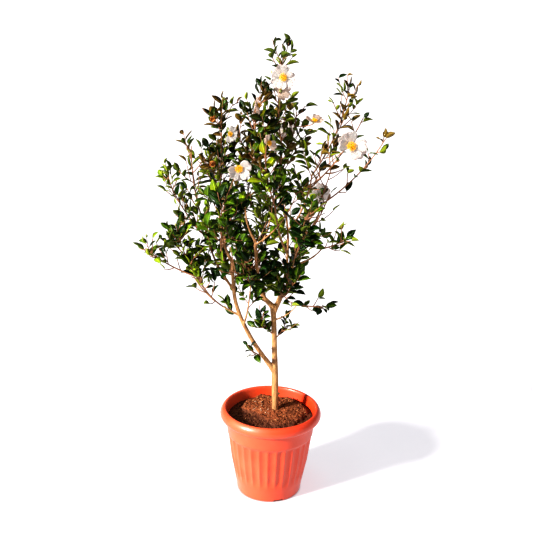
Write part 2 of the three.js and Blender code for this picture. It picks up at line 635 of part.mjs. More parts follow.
const masses = Object.keys(MASSES).map(planMass);
for (const { name, seed, stem } of masses) planLeaves(name, stem, stream(seed + masses.length));
for (const mass of masses) addPiece(mass.name, clearOf(rooms, makeMass(mass)), "foliage");

export default shrub;
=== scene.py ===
# %% [markdown]
# # A camellia shrub in a fluted plastic pot
# A young camellia with open white flowers stands in a round orange-red pot. The trunk forks
# low, its boughs rise and spread, and glossy leaves grow round thin twigs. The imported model
# gives the size and the place of every limb and every mass of leaves. This script grows the
# fine shapes inside those masses and gives each surface its finish.

# %% Load the frame and note its box
import json
import math

import bmesh
import bpy
import numpy as np
from mathutils import Matrix, Quaternion, Vector, noise

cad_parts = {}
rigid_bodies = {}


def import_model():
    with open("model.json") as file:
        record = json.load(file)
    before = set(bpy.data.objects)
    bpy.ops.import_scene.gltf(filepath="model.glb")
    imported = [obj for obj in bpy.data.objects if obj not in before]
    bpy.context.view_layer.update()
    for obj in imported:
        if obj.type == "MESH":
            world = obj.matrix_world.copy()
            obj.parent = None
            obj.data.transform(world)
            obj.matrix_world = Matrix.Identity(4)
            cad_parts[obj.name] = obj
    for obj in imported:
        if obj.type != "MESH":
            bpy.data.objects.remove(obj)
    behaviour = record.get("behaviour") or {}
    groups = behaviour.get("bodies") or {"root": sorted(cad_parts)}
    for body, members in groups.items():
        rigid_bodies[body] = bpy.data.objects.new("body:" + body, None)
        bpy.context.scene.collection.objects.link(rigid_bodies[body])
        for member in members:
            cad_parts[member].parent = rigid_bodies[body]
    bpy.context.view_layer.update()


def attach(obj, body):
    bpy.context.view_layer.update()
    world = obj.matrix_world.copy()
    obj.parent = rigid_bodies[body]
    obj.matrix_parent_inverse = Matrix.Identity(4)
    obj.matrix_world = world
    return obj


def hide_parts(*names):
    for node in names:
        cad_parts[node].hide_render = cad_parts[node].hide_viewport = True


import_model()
BODY = "root"
MM = 0.001
FULL_TURN = 2 * math.pi
UP = Vector((0, 0, 1))


def mix(start, end, share):
    """The number that lies a share of the way from start to end."""
    return start + (end - start) * share


def smooth(low, high, value):
    """0 below low, 1 above high, and an even S-curve between."""
    share = min(max((value - low) / (high - low), 0), 1)
    return share * share * (3 - 2 * share)


def spread(start, end, count):
    """Evenly spaced numbers from start to end."""
    return [mix(start, end, k / max(count - 1, 1)) for k in range(count)]


def added(name, data):
    """A new object in the scene."""
    thing = bpy.data.objects.new(name, data)
    bpy.context.scene.collection.objects.link(thing)
    return thing


# %% [markdown]
# ## The camera
# The photograph looks a little down on the shrub from 2.7 m away, with a short telephoto
# lens and a slight roll. A camera is easiest to aim by its three directions: where it looks,
# its right and its up, which are the columns of its rotation.

# %% Set up the camera
EYE = Vector((-0.023, -2.7, 1.667))
LOOKS_DOWN, ROLL = math.radians(19.5), math.radians(1.4)
LENS, SENSOR = 68.3, 36  # mm

looks = Vector((0, math.cos(LOOKS_DOWN), -math.sin(LOOKS_DOWN)))
level = Vector((1, 0, 0))
above = level.cross(looks)
right = level * math.cos(ROLL) + above * math.sin(ROLL)
upward = above * math.cos(ROLL) - level * math.sin(ROLL)
camera = added("camera", bpy.data.cameras.new("camera"))
camera.data.lens = LENS
camera.data.sensor_width = SENSOR
camera.matrix_world = Matrix.Translation(EYE) @ Matrix((right, upward, -looks)).transposed().to_4x4()
bpy.context.scene.camera = camera
print("the camera looks along", [round(v, 2) for v in looks])

# %% [markdown]
# ## Light
# The photograph was taken on seamless white paper. A low lamp at the left front gives the
# bright left sides, the trunk's stripe of shadow on the pot's inner wall and the pot's shadow
# at the right. A large soft one above it gives the crown's faint shadow. A very broad one at
# the right and a white sky lift the shadows, as the studio's white walls do.

# %% Light the set
LAMPS = {  # strength, softness in degrees, where it stands, and its colour
    "sun": (13.2, 6, (-0.741, -0.509, 0.438), (1.0, 0.97, 0.925)),
    "softbox": (1.2, 24, (-0.49, -0.33, 0.81), (1.0, 0.98, 0.96)),
    "fill": (0.55, 70, (0.5, -0.45, 0.74), (0.96, 0.96, 1.0)),
}
SKY = {"Color": (0.95, 0.955, 1.0, 1), "Strength": 0.46}

for name, (strength, softness, stands, colour) in LAMPS.items():
    lamp = added(name, bpy.data.lights.new(name, "SUN"))
    lamp.data.energy = strength
    lamp.data.angle = math.radians(softness)
    lamp.data.color = colour
    lamp.rotation_euler = Vector(stands).to_track_quat("Z", "Y").to_euler()
world = bpy.data.worlds.new("sky")
world.use_nodes = True
for socket, value in SKY.items():
    world.node_tree.nodes["Background"].inputs[socket].default_value = value
bpy.context.scene.world = world
view = bpy.context.scene.view_settings
view.view_transform = "Standard"
view.look = "High Contrast"
view.exposure = -1


# %% [markdown]
# ## Shader maths as expressions
# A finish is easier to read as arithmetic than as a list of nodes. `Value` wraps a socket, and
# `+`, `-` and `*` on it add the Math nodes. `Finish` is one material: it adds any other node by
# its type, its settings and what is fed to its sockets.

# %% The two classes behind every finish
class Value:
    """A number or colour that varies over a surface: the socket that gives it."""

    def __init__(self, finish, socket):
        self.finish = finish
        self.socket = socket

    def math(self, operation, *values):
        return self.finish.node("ShaderNodeMath", {"operation": operation}, dict(enumerate(values)))

    def __add__(self, other):
        return self.math("ADD", self, other)

    def __radd__(self, other):
        return self.math("ADD", other, self)

    def __sub__(self, other):
        return self.math("SUBTRACT", self, other)

    def __rsub__(self, other):
        return self.math("SUBTRACT", other, self)

    def __mul__(self, other):
        return self.math("MULTIPLY", self, other)

    def __abs__(self):
        return self.math("ABSOLUTE", self)

    def rises(self, low, high):
        """0 where the value is below low, 1 where it is above high, smooth between."""
        settings = {"interpolation_type": "SMOOTHSTEP"}
        sockets = {"Value": self, "From Min": low, "From Max": high, "To Min": 0.0, "To Max": 1.0}
        return self.finish.node("ShaderNodeMapRange", settings, sockets)


class Finish:
    """A material with one Principled shader."""

    def __init__(self, name, colour, **sockets):
        self.material = bpy.data.materials.new(name)
        self.material.use_nodes = True
        self.tree = self.material.node_tree
        self.shader = self.tree.nodes["Principled BSDF"]
        self.material.diffuse_color = (*colour, 1)
        self.shows(Base_Color=(*colour, 1), **sockets)

    def feed(self, socket, value):
        if isinstance(value, Value):
            self.tree.links.new(value.socket, socket)
        else:
            socket.default_value = value

    def node(self, kind, settings=None, sockets=None, output=0):
        made = self.tree.nodes.new(kind)
        for name, setting in (settings or {}).items():
            setattr(made, name, setting)
        for name, value in (sockets or {}).items():
            self.feed(made.inputs[name], value)
        return Value(self, made.outputs[output])

    def shows(self, **sockets):
        for name, value in sockets.items():
            self.feed(self.shader.inputs[name.replace("_", " ")], value)

    def place(self, stretch=(1, 1, 1)):
        """The object's own coordinates, in metres, stretched along each axis."""
        where = self.node("ShaderNodeTexCoord", output="Object")
        return self.node("ShaderNodeMapping", {}, {"Vector": where, "Scale": stretch})

    def part(self, place, axis):
        """One of a place's three coordinates."""
        return self.node("ShaderNodeSeparateXYZ", {}, {0: place}, output=axis)

    def speckle(self, size, detail=3.0, stretch=(1, 1, 1), rough=0.5):
        """Soft noise from 0 to 1, with spots of about that size in metres."""
        sockets = {"Vector": self.place(stretch), "Scale": 1 / size, "Detail": detail, "Roughness": rough}
        return self.node("ShaderNodeTexNoise", {}, sockets)

    def blend(self, share, first, second):
        """A colour between two, or between what feeds them."""
        colours = [(*c, 1) if isinstance(c, tuple) and len(c) == 3 else c for c in (first, second)]
        sockets = {0: share, 6: colours[0], 7: colours[1]}
        return self.node("ShaderNodeMix", {"data_type": "RGBA"}, sockets, output=2)

    def across(self, name):
        """The piece's own UV map, as its two numbers."""
        uv = self.node("ShaderNodeUVMap", {"uv_map": name})
        return self.part(uv, 0), self.part(uv, 1)

    def lines(self, where):
        """Thin lines, one each time that the value grows by a full turn."""
        return self.node("ShaderNodeMath", {"operation": "SINE"}, {0: where})

    def relief(self, height, depth):
        """Dents and bumps of that depth in metres where height goes from 0 to 1."""
        bump = self.node("ShaderNodeBump", {}, {"Height": height, "Distance": depth, "Strength": 1.0})
        self.shows(Normal=bump)

    def in_spots(self, spots, first, second):
        """Goes from one base colour to another as the spots do."""
        self.shows(Base_Color=self.blend(spots, first, second))


# %% [markdown]
# ## Turning meshes into pieces
# Every piece of this shrub is a mesh that rides on the one body, named after what it is. A
# bmesh is where operators work, so one helper turns a finished bmesh into a mesh. Another
# makes a mesh a piece, with its finish, and hides the solids that it stands for.

# %% Make a piece
def make_piece(name, mesh, finish, stands_for=()):
    """Puts a mesh into the scene as a smooth piece with its finish."""
    mesh.name = name
    piece = added(name, mesh)
    mesh.materials.clear()
    mesh.materials.append(finish.material)
    mesh.polygons.foreach_set("use_smooth", [True] * len(mesh.polygons))
    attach(piece, BODY)
    if stands_for:
        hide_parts(*stands_for)
    mesh.calc_loop_triangles()
    print(f"{name}: {len(mesh.loop_triangles):,} triangles")
    return piece


def mesh_of(shape, name):
    """The mesh of a bmesh, which is then freed."""
    mesh = bpy.data.meshes.new(name)
    shape.to_mesh(mesh)
    shape.free()
    return mesh


def worked_out(helper):
    """The mesh that an object gives after its modifiers or from its curves."""
    graph = bpy.context.evaluated_depsgraph_get()
    graph.update()
    made = bpy.data.meshes.new_from_object(helper.evaluated_get(graph), depsgraph=graph)
    bpy.data.objects.remove(helper)
    return made


def with_modifier(mesh, kind, **settings):
    """A mesh after one modifier."""
    helper = added("helper", mesh)
    modifier = helper.modifiers.new(kind.lower(), kind)
    for name, value in settings.items():
        setattr(modifier, name, value)
    return worked_out(helper)


def spun(profile, steps):
    """A closed wall turned about the vertical axis from (radius, height) pairs in mm."""
    shape = bmesh.new()
    corners = [shape.verts.new((r * MM, 0, z * MM)) for r, z in profile]
    edges = [shape.edges.new(pair) for pair in zip(corners, corners[1:])]
    bmesh.ops.spin(shape, geom=corners + edges, cent=(0, 0, 0), axis=(0, 0, 1), angle=FULL_TURN,
                   steps=steps, use_merge=True)
    bmesh.ops.remove_doubles(shape, verts=shape.verts, dist=1e-5)
    bmesh.ops.recalc_face_normals(shape, faces=shape.faces)
    return shape


# %% [markdown]
# ## The pot
# The pot is a moulded planter of glossy orange-red plastic. A broad rolled rim overhangs a
# plain collar, and thirty shallow flutes run down the wall and fade out above the foot. One
# profile, spun round the axis, gives the whole wall, inside and out. The flutes are then
# pressed in by moving the outer points inwards along a scooped curve, and four low slots are
# cut into the foot. The plastic is painted paler at the left, as painted light where the lamp
# falls, and deeper at the right, as painted shade.

# %% Spin the pot's wall and press in its flutes
FLUTES = {"count": 30, "depth": 5.2, "turn": 0.056, "from": 42, "to": 188, "fade": (34, 3.5)}
POT_FOOT = [(0, 0), (60, 0), (88, 0), (92, 0.4), (94.2, 1.6), (95.6, 4), (96.3, 7)]
POT_WALL = [(99, 26), (104, 50), (115, 104), (125.8, 187.5)]
POT_RIM = [
    (126.6, 189.5), (127.7, 191.5), (128.1, 195), (129.6, 211), (131.8, 230.5), (132.6, 232.6),
    (134.6, 234), (138.6, 235.4), (143, 237.6), (147, 241.6), (149.4, 246.4), (149.9, 250.5),
    (149, 256), (146.6, 261.6), (143.2, 266.2), (139.4, 269.2), (136.6, 269.7), (134.2, 268.6),
    (132.5, 266.2),
]
POT_INSIDE = [(86, 8), (97, 52), (117, 182), (126, 234), (131.4, 260)]
POT_FLOOR = [(87, 11), (84, 8.2), (40, 8), (0, 8)]
WALL_THICKNESS = 4  # mm, so that points further out than this belong to the outer wall
SLOT = {"count": 4, "width": 30, "height": 6.6, "depth": 34, "radius": 96, "turn": -0.48}


def radius_on(wall, height):
    """The radius in mm at a height in mm, on a wall that is given by its corners from below."""
    radii, heights = zip(*wall)
    return float(np.interp(height, heights, radii))


def press_flutes(shape):
    """Moves the outer wall's points inwards, deepest in the middle of each flute."""
    for vert in shape.verts:
        height = vert.co.z / MM
        radius = vert.co.xy.length / MM
        is_outer = radius >= radius_on(POT_INSIDE, height) + WALL_THICKNESS
        if not is_outer or not FLUTES["from"] < height < FLUTES["to"]:
            continue
        turn = (math.atan2(vert.co.y, vert.co.x) - FLUTES["turn"]) / FULL_TURN * FLUTES["count"]
        scoop = 1 - (2 * (turn % 1) - 1) ** 2
        fade = smooth(0, FLUTES["fade"][0], height - FLUTES["from"])
        fade *= smooth(0, FLUTES["fade"][1], FLUTES["to"] - height)
        vert.co.xy *= 1 - FLUTES["depth"] * scoop * fade / radius


# Extra rows of points along the wall let the flutes fade.
pot_wall = [(radius_on(POT_WALL, z), z) for z in spread(POT_WALL[0][1], POT_WALL[-1][1], 30)]
pot_profile = POT_FOOT + pot_wall + POT_RIM + POT_INSIDE[:0:-1] + POT_FLOOR
pot_shape = spun(pot_profile, FLUTES["count"] * 10)
press_flutes(pot_shape)
cutter_shape = bmesh.new()
for k in range(SLOT["count"]):
    turn = Matrix.Rotation(FULL_TURN * (k + 0.5) / SLOT["count"] + SLOT["turn"], 4, "Z")
    outward = Matrix.Translation((SLOT["radius"] * MM, 0, 0))
    size = Matrix.Diagonal((SLOT["depth"] * MM, SLOT["width"] * MM, 2 * SLOT["height"] * MM, 1))
    bmesh.ops.create_cube(cutter_shape, size=1, matrix=turn @ outward @ size)
cutter = added("cutter", mesh_of(cutter_shape, "cutter"))
pot_mesh = mesh_of(pot_shape, "pot wall")
pot_mesh = with_modifier(pot_mesh, "BOOLEAN", object=cutter, operation="DIFFERENCE", solver="EXACT")
bpy.data.objects.remove(cutter)

# %% Paint the pot
plastic = Finish("orange_red_plastic", (0.70, 0.068, 0.014), Roughness=0.5, Specular_IOR_Level=0.4,
                 Coat_Weight=0.7, Coat_Roughness=0.28)
dust = plastic.speckle(0.05, 5.0).rises(0.42, 0.75)
scuffs = plastic.speckle(0.004, 4.0, stretch=(1, 1, 0.2), rough=0.7).rises(0.62, 0.8)
# Painted light and shade: the plastic's colour is paler at the left, which faces the lamp, and deeper at
# the right.
painted_shade_share = plastic.part(plastic.place(), 0).rises(-0.125, 0.105)
clouds = plastic.speckle(0.09, 2.0).rises(0.3, 0.7)
painted_side_light = plastic.blend(painted_shade_share, (0.76, 0.112, 0.040), (0.68, 0.048, 0.007))
deeper = plastic.blend(clouds * 0.5, painted_side_light, (0.66, 0.05, 0.008))
plastic.in_spots(dust * 0.04 + scuffs * 0.06, deeper, (0.72, 0.32, 0.22))
plastic.shows(Roughness=0.5 + dust * 0.1 + scuffs * 0.1)
plastic.relief(plastic.speckle(0.012, 3.0) * 0.7 + plastic.speckle(0.0012, 2.0) * 0.3, 0.00025)
pot = make_piece("fluted_pot", pot_mesh, plastic, ["pot"])
print("the pot is", round(pot.dimensions.x * 1000), "mm across")

# %% [markdown]
# ## The soil
# Dark potting soil fills the pot, and the old root ball stands a little proud of it with a
# broken edge. The soil round the ball lies lower and is coloured darker than the ball. Loose
# soil is rough at every scale, so one spun disc is pushed up and down by noise of several
# sizes, and crumbs, pale bark fibres and white grains lie on top.

# %% Shape the soil's surface
SOIL = {"level": 232.5, "edge": 125.2, "gap": 0.6}
SOIL_BELOW = [(122.6, 218.5), (116.6, 182.5), (96.6, 52.5), (86, 8.4), (0, 8.4)]
BALL = {
    "centre": Vector((8, 13)), "waves": ((3, 0.05), (7, 0.03), (13, 0.02)),
    "tilt": 0.075, "bite": 0.46, "bite_turn": -2.36,
    "from_centre": (0, 34, 62, 86, 93, 98), "heights": (255, 254, 252.5, 250, 246, 240),
}
LUMPS = ((3.2, 22), (3, 8), (1.4, 3.4))  # how high and how wide


def soil_height(x, y):
    """The height of the soil in mm at a place in mm."""
    away = Vector((x, y)) - BALL["centre"]
    turn = math.atan2(away.y, away.x)
    wide = 1 + sum(size * math.sin(count * turn + 1) for count, size in BALL["waves"])
    wide -= BALL["bite"] * smooth(0.55, 0.92, math.cos(turn - BALL["bite_turn"]))
    place = Vector((x, y, 0))
    inward = away.length / wide + 7 * noise.noise(place / 9)
    height = float(np.interp(inward, BALL["from_centre"], BALL["heights"]))
    lumps = sum(high * noise.noise(place / size) for high, size in LUMPS)
    tilt = BALL["tilt"] * y * smooth(106, 92, inward)
    return height + tilt + lumps * smooth(0, 10, 128 - Vector((x, y)).length) - 1


soil_shape = spun([(r, SOIL["level"]) for r in spread(0, SOIL["edge"], 60)] + SOIL_BELOW, 200)
for vert in soil_shape.verts:
    if vert.co.z > (SOIL["level"] - 0.5) * MM:
        height = soil_height(vert.co.x / MM, vert.co.y / MM)
        edge = radius_on(POT_INSIDE, height) - SOIL["gap"]
        vert.co.z = height * MM
        vert.co.xy *= mix(1, edge / SOIL["edge"], smooth(90, 125, vert.co.xy.length / MM))
soil_mesh = mesh_of(soil_shape, "soil")


def ball_share(finish):
    """1 on the root ball, 0 on the soil round it, which lies lower."""
    height = finish.part(finish.place(), 2)
    return (height + finish.speckle(0.008, 2.0) * 0.004).rises(0.245, 0.2515)


earth = Finish("potting_soil", (0.10, 0.035, 0.015), Roughness=0.95, Specular_IOR_Level=0.15)
grains = earth.speckle(0.003, 6.0, rough=0.75)
patches = earth.speckle(0.035, 3.0).rises(0.35, 0.7)
# The soil on the root ball is coloured lighter, and the lower soil round it darker.
ball_tone = earth.blend(grains.rises(0.35, 0.65), (0.035, 0.010, 0.005), (0.34, 0.108, 0.044))
ball_tone = earth.blend(patches * 0.4, ball_tone, (0.36, 0.115, 0.046))
lower_soil_tone = earth.blend(grains.rises(0.35, 0.7), (0.034, 0.011, 0.007), (0.21, 0.076, 0.038))
earth.in_spots(ball_share(earth), lower_soil_tone, ball_tone)
earth.relief(grains, 0.002)
make_piece("soil_bed", soil_mesh, earth, ["soil"])


# %% [markdown]
# ## Copying a small shape many times
# Crumbs, leaves and petals are each one small shape, modelled once and set down hundreds of
# times. Joining real copies with operators would be slow, so the shape's own arrays are
# multiplied by all the placing matrices in one step.

# %% Deal a small shape out to many places
def dealt_out(template, places, name):
    """One mesh with a copy of the template at each matrix."""
    count, total = len(template.vertices), len(places)
    corners = np.empty(count * 3)
    template.vertices.foreach_get("co", corners)
    matrices = np.array([[list(row) for row in place] for place in places])
    local = np.c_[corners.reshape(-1, 3), np.ones(count)]
    points = np.einsum("nij,vj->nvi", matrices, local)[:, :, :3].reshape(-1, 3)
    loops = np.empty(len(template.loops), dtype=np.int64)
    template.loops.foreach_get("vertex_index", loops)
    sizes = np.empty(len(template.polygons), dtype=np.int64)
    template.polygons.foreach_get("loop_total", sizes)
    mesh = bpy.data.meshes.new(name)
    mesh.vertices.add(len(points))
    mesh.vertices.foreach_set("co", points.ravel())
    mesh.loops.add(len(loops) * total)
    mesh.loops.foreach_set("vertex_index", (loops[None, :] + count * np.arange(total)[:, None]).ravel())
    all_sizes = np.tile(sizes, total)
    mesh.polygons.add(len(all_sizes))
    mesh.polygons.foreach_set("loop_start", np.r_[0, np.cumsum(all_sizes)[:-1]])
    mesh.polygons.foreach_set("loop_total", all_sizes)
    for layer in template.uv_layers:
        uv = np.empty(len(loops) * 2)
        layer.data.foreach_get("uv", uv)
        mesh.uv_layers.new(name=layer.name).data.foreach_set("uv", np.tile(uv, total))
    mesh.update(calc_edges=True)
    return mesh


def joined(meshes, name):
    """Several meshes as one."""
    shape = bmesh.new()
    for mesh in meshes:
        shape.from_mesh(mesh)
    return mesh_of(shape, name)


# %% Scatter crumbs, fibres and white grains on the soil
def pebble(detail, squash):
    """A small rough lump about 1 m across, to be scaled."""
    shape = bmesh.new()
    bmesh.ops.create_icosphere(shape, subdivisions=detail, radius=0.5)
    for vert in shape.verts:
        vert.co *= 1 + 0.3 * noise.noise(vert.co * 3 + Vector((squash, 0, 0)))
    bmesh.ops.scale(shape, vec=(1, 0.8, squash), verts=shape.verts)
    return mesh_of(shape, "pebble")


TRUNK_SPOT, TRUNK_ROOM = (13, 17), 13  # mm, where the trunk stands and what it keeps free


def scattered(draws, count, sizes, rim, stretch=1.0, sunk=0.1, middle=(0, 0)):
    """Matrices for small things that lie on the soil."""
    places = []
    while len(places) < count:
        x, y = draws.uniform(-rim, rim, 2) + middle
        if math.dist((x, y), middle) > rim or math.dist((x, y), TRUNK_SPOT) < TRUNK_ROOM:
            continue
        size = draws.uniform(*sizes) * draws.uniform(0.6, 1)
        spot = Vector((x, y, soil_height(x, y) + size * sunk)) * MM
        turned = Quaternion(UP, draws.uniform(0, FULL_TURN))
        turned @= Quaternion((1, 0, 0), draws.uniform(-0.4, 0.4))
        scale = Matrix.Diagonal((size * stretch * MM, size * MM, size * MM, 1))
        places.append(Matrix.Translation(spot) @ turned.to_matrix().to_4x4() @ scale)
    return places


draws = np.random.default_rng(7)
crumb_places = scattered(draws, 2500, (1.4, 5.8), 120)
fibre_places = scattered(draws, 150, (0.8, 1.6), 116, stretch=7, sunk=0.5)
fibre_places += scattered(draws, 60, (2, 4.2), 120, stretch=2.6, sunk=0.35)
grain_places = scattered(draws, 16, (2.4, 4), 42, sunk=0.3, middle=(-22, 24))

crumb = Finish("soil_crumbs", (0.15, 0.045, 0.018), Roughness=0.95, Specular_IOR_Level=0.15)
mottled = crumb.speckle(0.009, 2.0).rises(0.35, 0.65)
# Crumbs on the root ball are coloured lighter than those on the lower soil round it.
lower_soil_tone = crumb.blend(mottled, (0.03, 0.009, 0.005), (0.17, 0.055, 0.024))
ball_tone = crumb.blend(mottled, (0.06, 0.018, 0.009), (0.42, 0.14, 0.056))
crumb.in_spots(ball_share(crumb), lower_soil_tone, ball_tone)
fibre = Finish("bark_fibre", (0.46, 0.21, 0.085), Roughness=0.9)
grain = Finish("white_grain", (0.70, 0.56, 0.42), Roughness=0.85)
for name, detail, squash, places, finish in (
    ("soil_crumbs", 1, 0.75, crumb_places, crumb),
    ("bark_fibres", 1, 0.8, fibre_places, fibre),
    ("white_grains", 2, 0.8, grain_places, grain),
):
    make_piece(name, dealt_out(pebble(detail, squash), places, name), finish)

# %% [markdown]
# ## How the shrub grows
# The frame's solids were grown by a rule from a few named sizes: a trunk, boughs that leave it
# and turn up, and for each mass of leaves a stem with twigs placed by the golden angle. The
# same rule is written here again, in the same millimetres, so that the fine twigs start
# exactly where the solids have them.

# %% The limbs and masses, as in the solids
GOLDEN_ANGLE = math.pi * (3 - math.sqrt(5))
SEAT_GAP = 0.35  # mm between a limb's tip and what grows on from it
TRUNK = {
    "foot": (*TRUNK_SPOT, 250.35), "fork": (-1, 8, 584), "bow": (2, -2, 0), "foot_radius": 10.6,
    "fork_radius": 7.6, "flare": 0.3, "flare_height": 9, "collar": 0.14,
}
BOUGHS = {  # the limb it grows from, how far along, its tip, its radii, and points on its way
    "left_stem": ("trunk", 0.385, (-120, -32, 735), (6.8, 4.4), [(-61, -8, 490), (-107, -25, 606)]),
    "left_stem_top": ("left_stem", 1, (-156, -22, 872), (4.2, 3)),
    "left_low_bough": ("left_stem", 0.56, (-226, -60, 700), (3.4, 2.4)),
    "left_side_bough": ("left_stem", 0.78, (-200, 16, 826), (3.4, 2.6)),
    "left_front_bough": ("left_stem", 0.9, (-146, -122, 800), (3, 2.2)),
    "inner_left_bough": ("left_stem", 0.48, (-66, -86, 684), (3.2, 2.4)),
    "middle_stem": ("trunk", 1, (-57, 22, 780), (6.6, 4.4), [(-34, 12, 622), (-50, 18, 700)]),
    "middle_stem_top": ("middle_stem", 1, (-86, 8, 890), (4.1, 3)),
    "centre_bough": ("middle_stem", 0.82, (-8, 48, 930), (3.2, 2.4)),
    "crossing_bough": ("middle_stem", 0.95, (54, -62, 945), (3, 2.2)),
    "back_left_bough": ("middle_stem", 0.56, (-116, 138, 780), (3.6, 2.6)),
    "back_low_bough": ("middle_stem", 0.24, (-36, 124, 690), (3.4, 2.4)),
    "leader": ("trunk", 0.97, (30, 18, 850), (4.8, 3.4)),
    "leader_top": ("leader", 1, (14, 20, 1044), (3.1, 2.2)),
    "front_high_bough": ("leader", 0.66, (-4, -94, 915), (3, 2.2)),
    "back_right_bough": ("leader", 0.36, (80, 138, 775), (3.4, 2.4)),
    "high_right_bough": ("leader", 0.88, (94, -40, 990), (2.8, 2.2)),
    "right_stem": ("trunk", 0.93, (70, -18, 798), (4.6, 3.4), [(37, -8, 664)]),
    "right_stem_top": ("right_stem", 1, (124, -20, 902), (3.1, 2.4)),
    "right_front_bough": ("right_stem", 0.5, (50, -120, 772), (3, 2.2)),
    "right_mid_bough": ("right_stem", 0.72, (128, -56, 786), (2.6, 2)),
    "right_low_bough": ("trunk", 0.88, (66, -24, 606), (2.6, 2)),
}
MASSES = {  # the limb it grows from, how far along, its last leaf's tip, its reach, its twigs
    "top_mass": ("leader_top", 1, (8, 20, 1346), 80, 9),
    "inner_high_mass": ("middle_stem_top", 1, (-60, -40, 1225), 98, 9),
    "high_left_mass": ("left_stem_top", 1, (-154, 20, 1190), 94, 9),
    "left_shoulder_mass": ("left_side_bough", 1, (-240, -24, 1096), 84, 8),
    "left_far_mass": ("left_side_bough", 0.8, (-326, 34, 990), 80, 8),
    "left_low_mass": ("left_low_bough", 1, (-392, -66, 800), 78, 8),
    "left_under_mass": ("left_low_bough", 0.5, (-286, -80, 880), 84, 7),
    "front_left_mass": ("left_front_bough", 1, (-140, -240, 990), 104, 9),
    "front_low_mass": ("inner_left_bough", 1, (-84, -196, 815), 96, 8),
    "centre_mass": ("centre_bough", 1, (60, 70, 1180), 90, 8),
    "back_left_mass": ("back_left_bough", 1, (-215, 235, 1000), 108, 9),
    "back_low_mass": ("back_low_bough", 1, (-40, 278, 850), 104, 8),
    "back_high_mass": ("leader", 0.93, (-20, 190, 1140), 98, 8),
    "front_high_mass": ("front_high_bough", 1, (-42, -190, 1110), 92, 9),
    "front_right_mass": ("right_front_bough", 1, (78, -244, 960), 98, 8),
    "back_right_mass": ("back_right_bough", 1, (178, 222, 985), 108, 8),
    "high_right_mass": ("high_right_bough", 1, (198, -20, 1254), 70, 8),
    "high_side_mass": ("high_right_bough", 0.8, (254, 44, 1166), 66, 7),
    "flower_side_mass": ("crossing_bough", 1, (180, -132, 1080), 78, 7),
    "right_mass": ("right_stem_top", 1, (316, -10, 1118), 56, 8),
    "right_inner_mass": ("right_stem", 0.9, (168, 72, 940), 84, 7),
    "right_mid_mass": ("right_mid_bough", 1, (224, -72, 836), 76, 7),
    "right_low_mass": ("right_low_bough", 1, (186, -22, 600), 62, 5),
    "low_centre_mass": ("right_stem", 0.28, (56, -168, 738), 90, 7),
    "low_left_mass": ("left_low_bough", 0.3, (-226, -130, 748), 88, 7),
    "fork_sprig": ("trunk", 0.74, (-54, -34, 594), 60, 3),
    "left_sprig": ("left_stem", 0.16, (-92, -26, 480), 62, 3),
    "right_sprig": ("trunk", 0.7, (56, -4, 574), 60, 3),
}
FLOWERS = [  # its mass, its centre, the way it faces, and its diameter
    ("top_mass", (10, -34, 1250), (-0.3, -1, 0.1), 66),
    ("flower_side_mass", (188, -132, 1093), (0.1, -1, 0.15), 76),
    ("front_left_mass", (-98, -232, 1052), (0.05, -1, -0.1), 62),
    ("centre_mass", (96, 6, 1128), (0.2, -0.3, 0.93), 52),
    ("high_left_mass", (-128, -72, 1104), (0.3, -0.9, 0.2), 42),
    ("inner_high_mass", (-54, -88, 1186), (0.75, -0.6, 0.25), 46),
    ("front_high_mass", (-26, -215, 1114), (0.6, -0.7, 0.3), 46),
    ("top_mass", (4, -16, 1212), (0.3, 0.6, 0.2), 50),
    ("back_high_mass", (20, 200, 1060), (0.2, 1, 0.2), 66),
    ("back_left_mass", (-180, 262, 940), (-0.3, 1, 0.3), 64),
    ("back_right_mass", (130, 244, 860), (0.4, 0.9, 0.2), 64),
]
BOUGH_BOW, STEM_BOW = (0.07, 0.04), (0.05, 0.03)
STEM_RADII, TWIG_RADII = (2.2, 1.4), (1.7, 1.25)
TWIG = {"angle": 0.95, "lift": 0.3, "shortest": 14, "limb_gap": 5, "twig_gap": 5.4, "reach": (0.66, 0.92)}
SOLID_LEAF = 50  # mm, the length of the solids' leaves, which the rule's sizes follow


# %% Curves: a point and a way along them
class Bow:
    """A curve from its first corner to its last, pulled towards those between."""

    def __init__(self, *corners):
        self.corners = corners

    def at(self, share):
        points = self.corners
        while len(points) > 1:
            points = [one.lerp(other, share) for one, other in zip(points, points[1:])]
        return points[0]


class Drawn:
    """A smooth curve through all its points, whose bends suit how far apart they are."""

    def __init__(self, points):
        self.points = [points[0] * 2 - points[1], *points, points[-1] * 2 - points[-2]]

    def at(self, share):
        pieces = len(self.points) - 3
        index = min(int(share * pieces), pieces - 1)
        a, b, c, d = self.points[index:index + 4]
        gaps = [max((q - p).length ** 0.5, 1e-4) for p, q in ((a, b), (b, c), (c, d))]
        start = ((b - a) / gaps[0] - (c - a) / (gaps[0] + gaps[1]) + (c - b) / gaps[1]) * gaps[1]
        end = ((c - b) / gaps[1] - (d - b) / (gaps[1] + gaps[2]) + (d - c) / gaps[2]) * gaps[1]
        square = c * 3 - b * 3 - start * 2 - end
        cube = b * 2 - c * 2 + start + end
        t = share * pieces - index
        return b + start * t + square * t ** 2 + cube * t ** 3


def way(curve, share):
    """The curve's direction at a share of its length."""
    low, high = max(share - 1e-4, 0), min(share + 1e-4, 1)
    return (curve.at(high) - curve.at(low)).normalized()


def length_of(curve):
    """The curve's length in mm."""
    points = [curve.at(share) for share in spread(0, 1, 41)]
    return sum((b - a).length for a, b in zip(points, points[1:]))


def bowed(start, tip, aside):
    """The curve whose middle is pushed aside."""
    return Bow(start, (start + tip) / 2 + aside * 2, tip)


def rising(start, tip, bow):
    """The curve of a shoot that leaves its limb wide and turns up."""
    span = tip - start
    aside = Vector((span.x, span.y, 0)).normalized() * bow[0] * span.length
    return bowed(start, tip, aside - UP * bow[1] * span.length)


def grows_from(curve, share):
    """Where a child starts on a limb: on its axis, or just beyond its tip."""
    return curve.at(share) + (way(curve, 1) * SEAT_GAP if share == 1 else Vector())


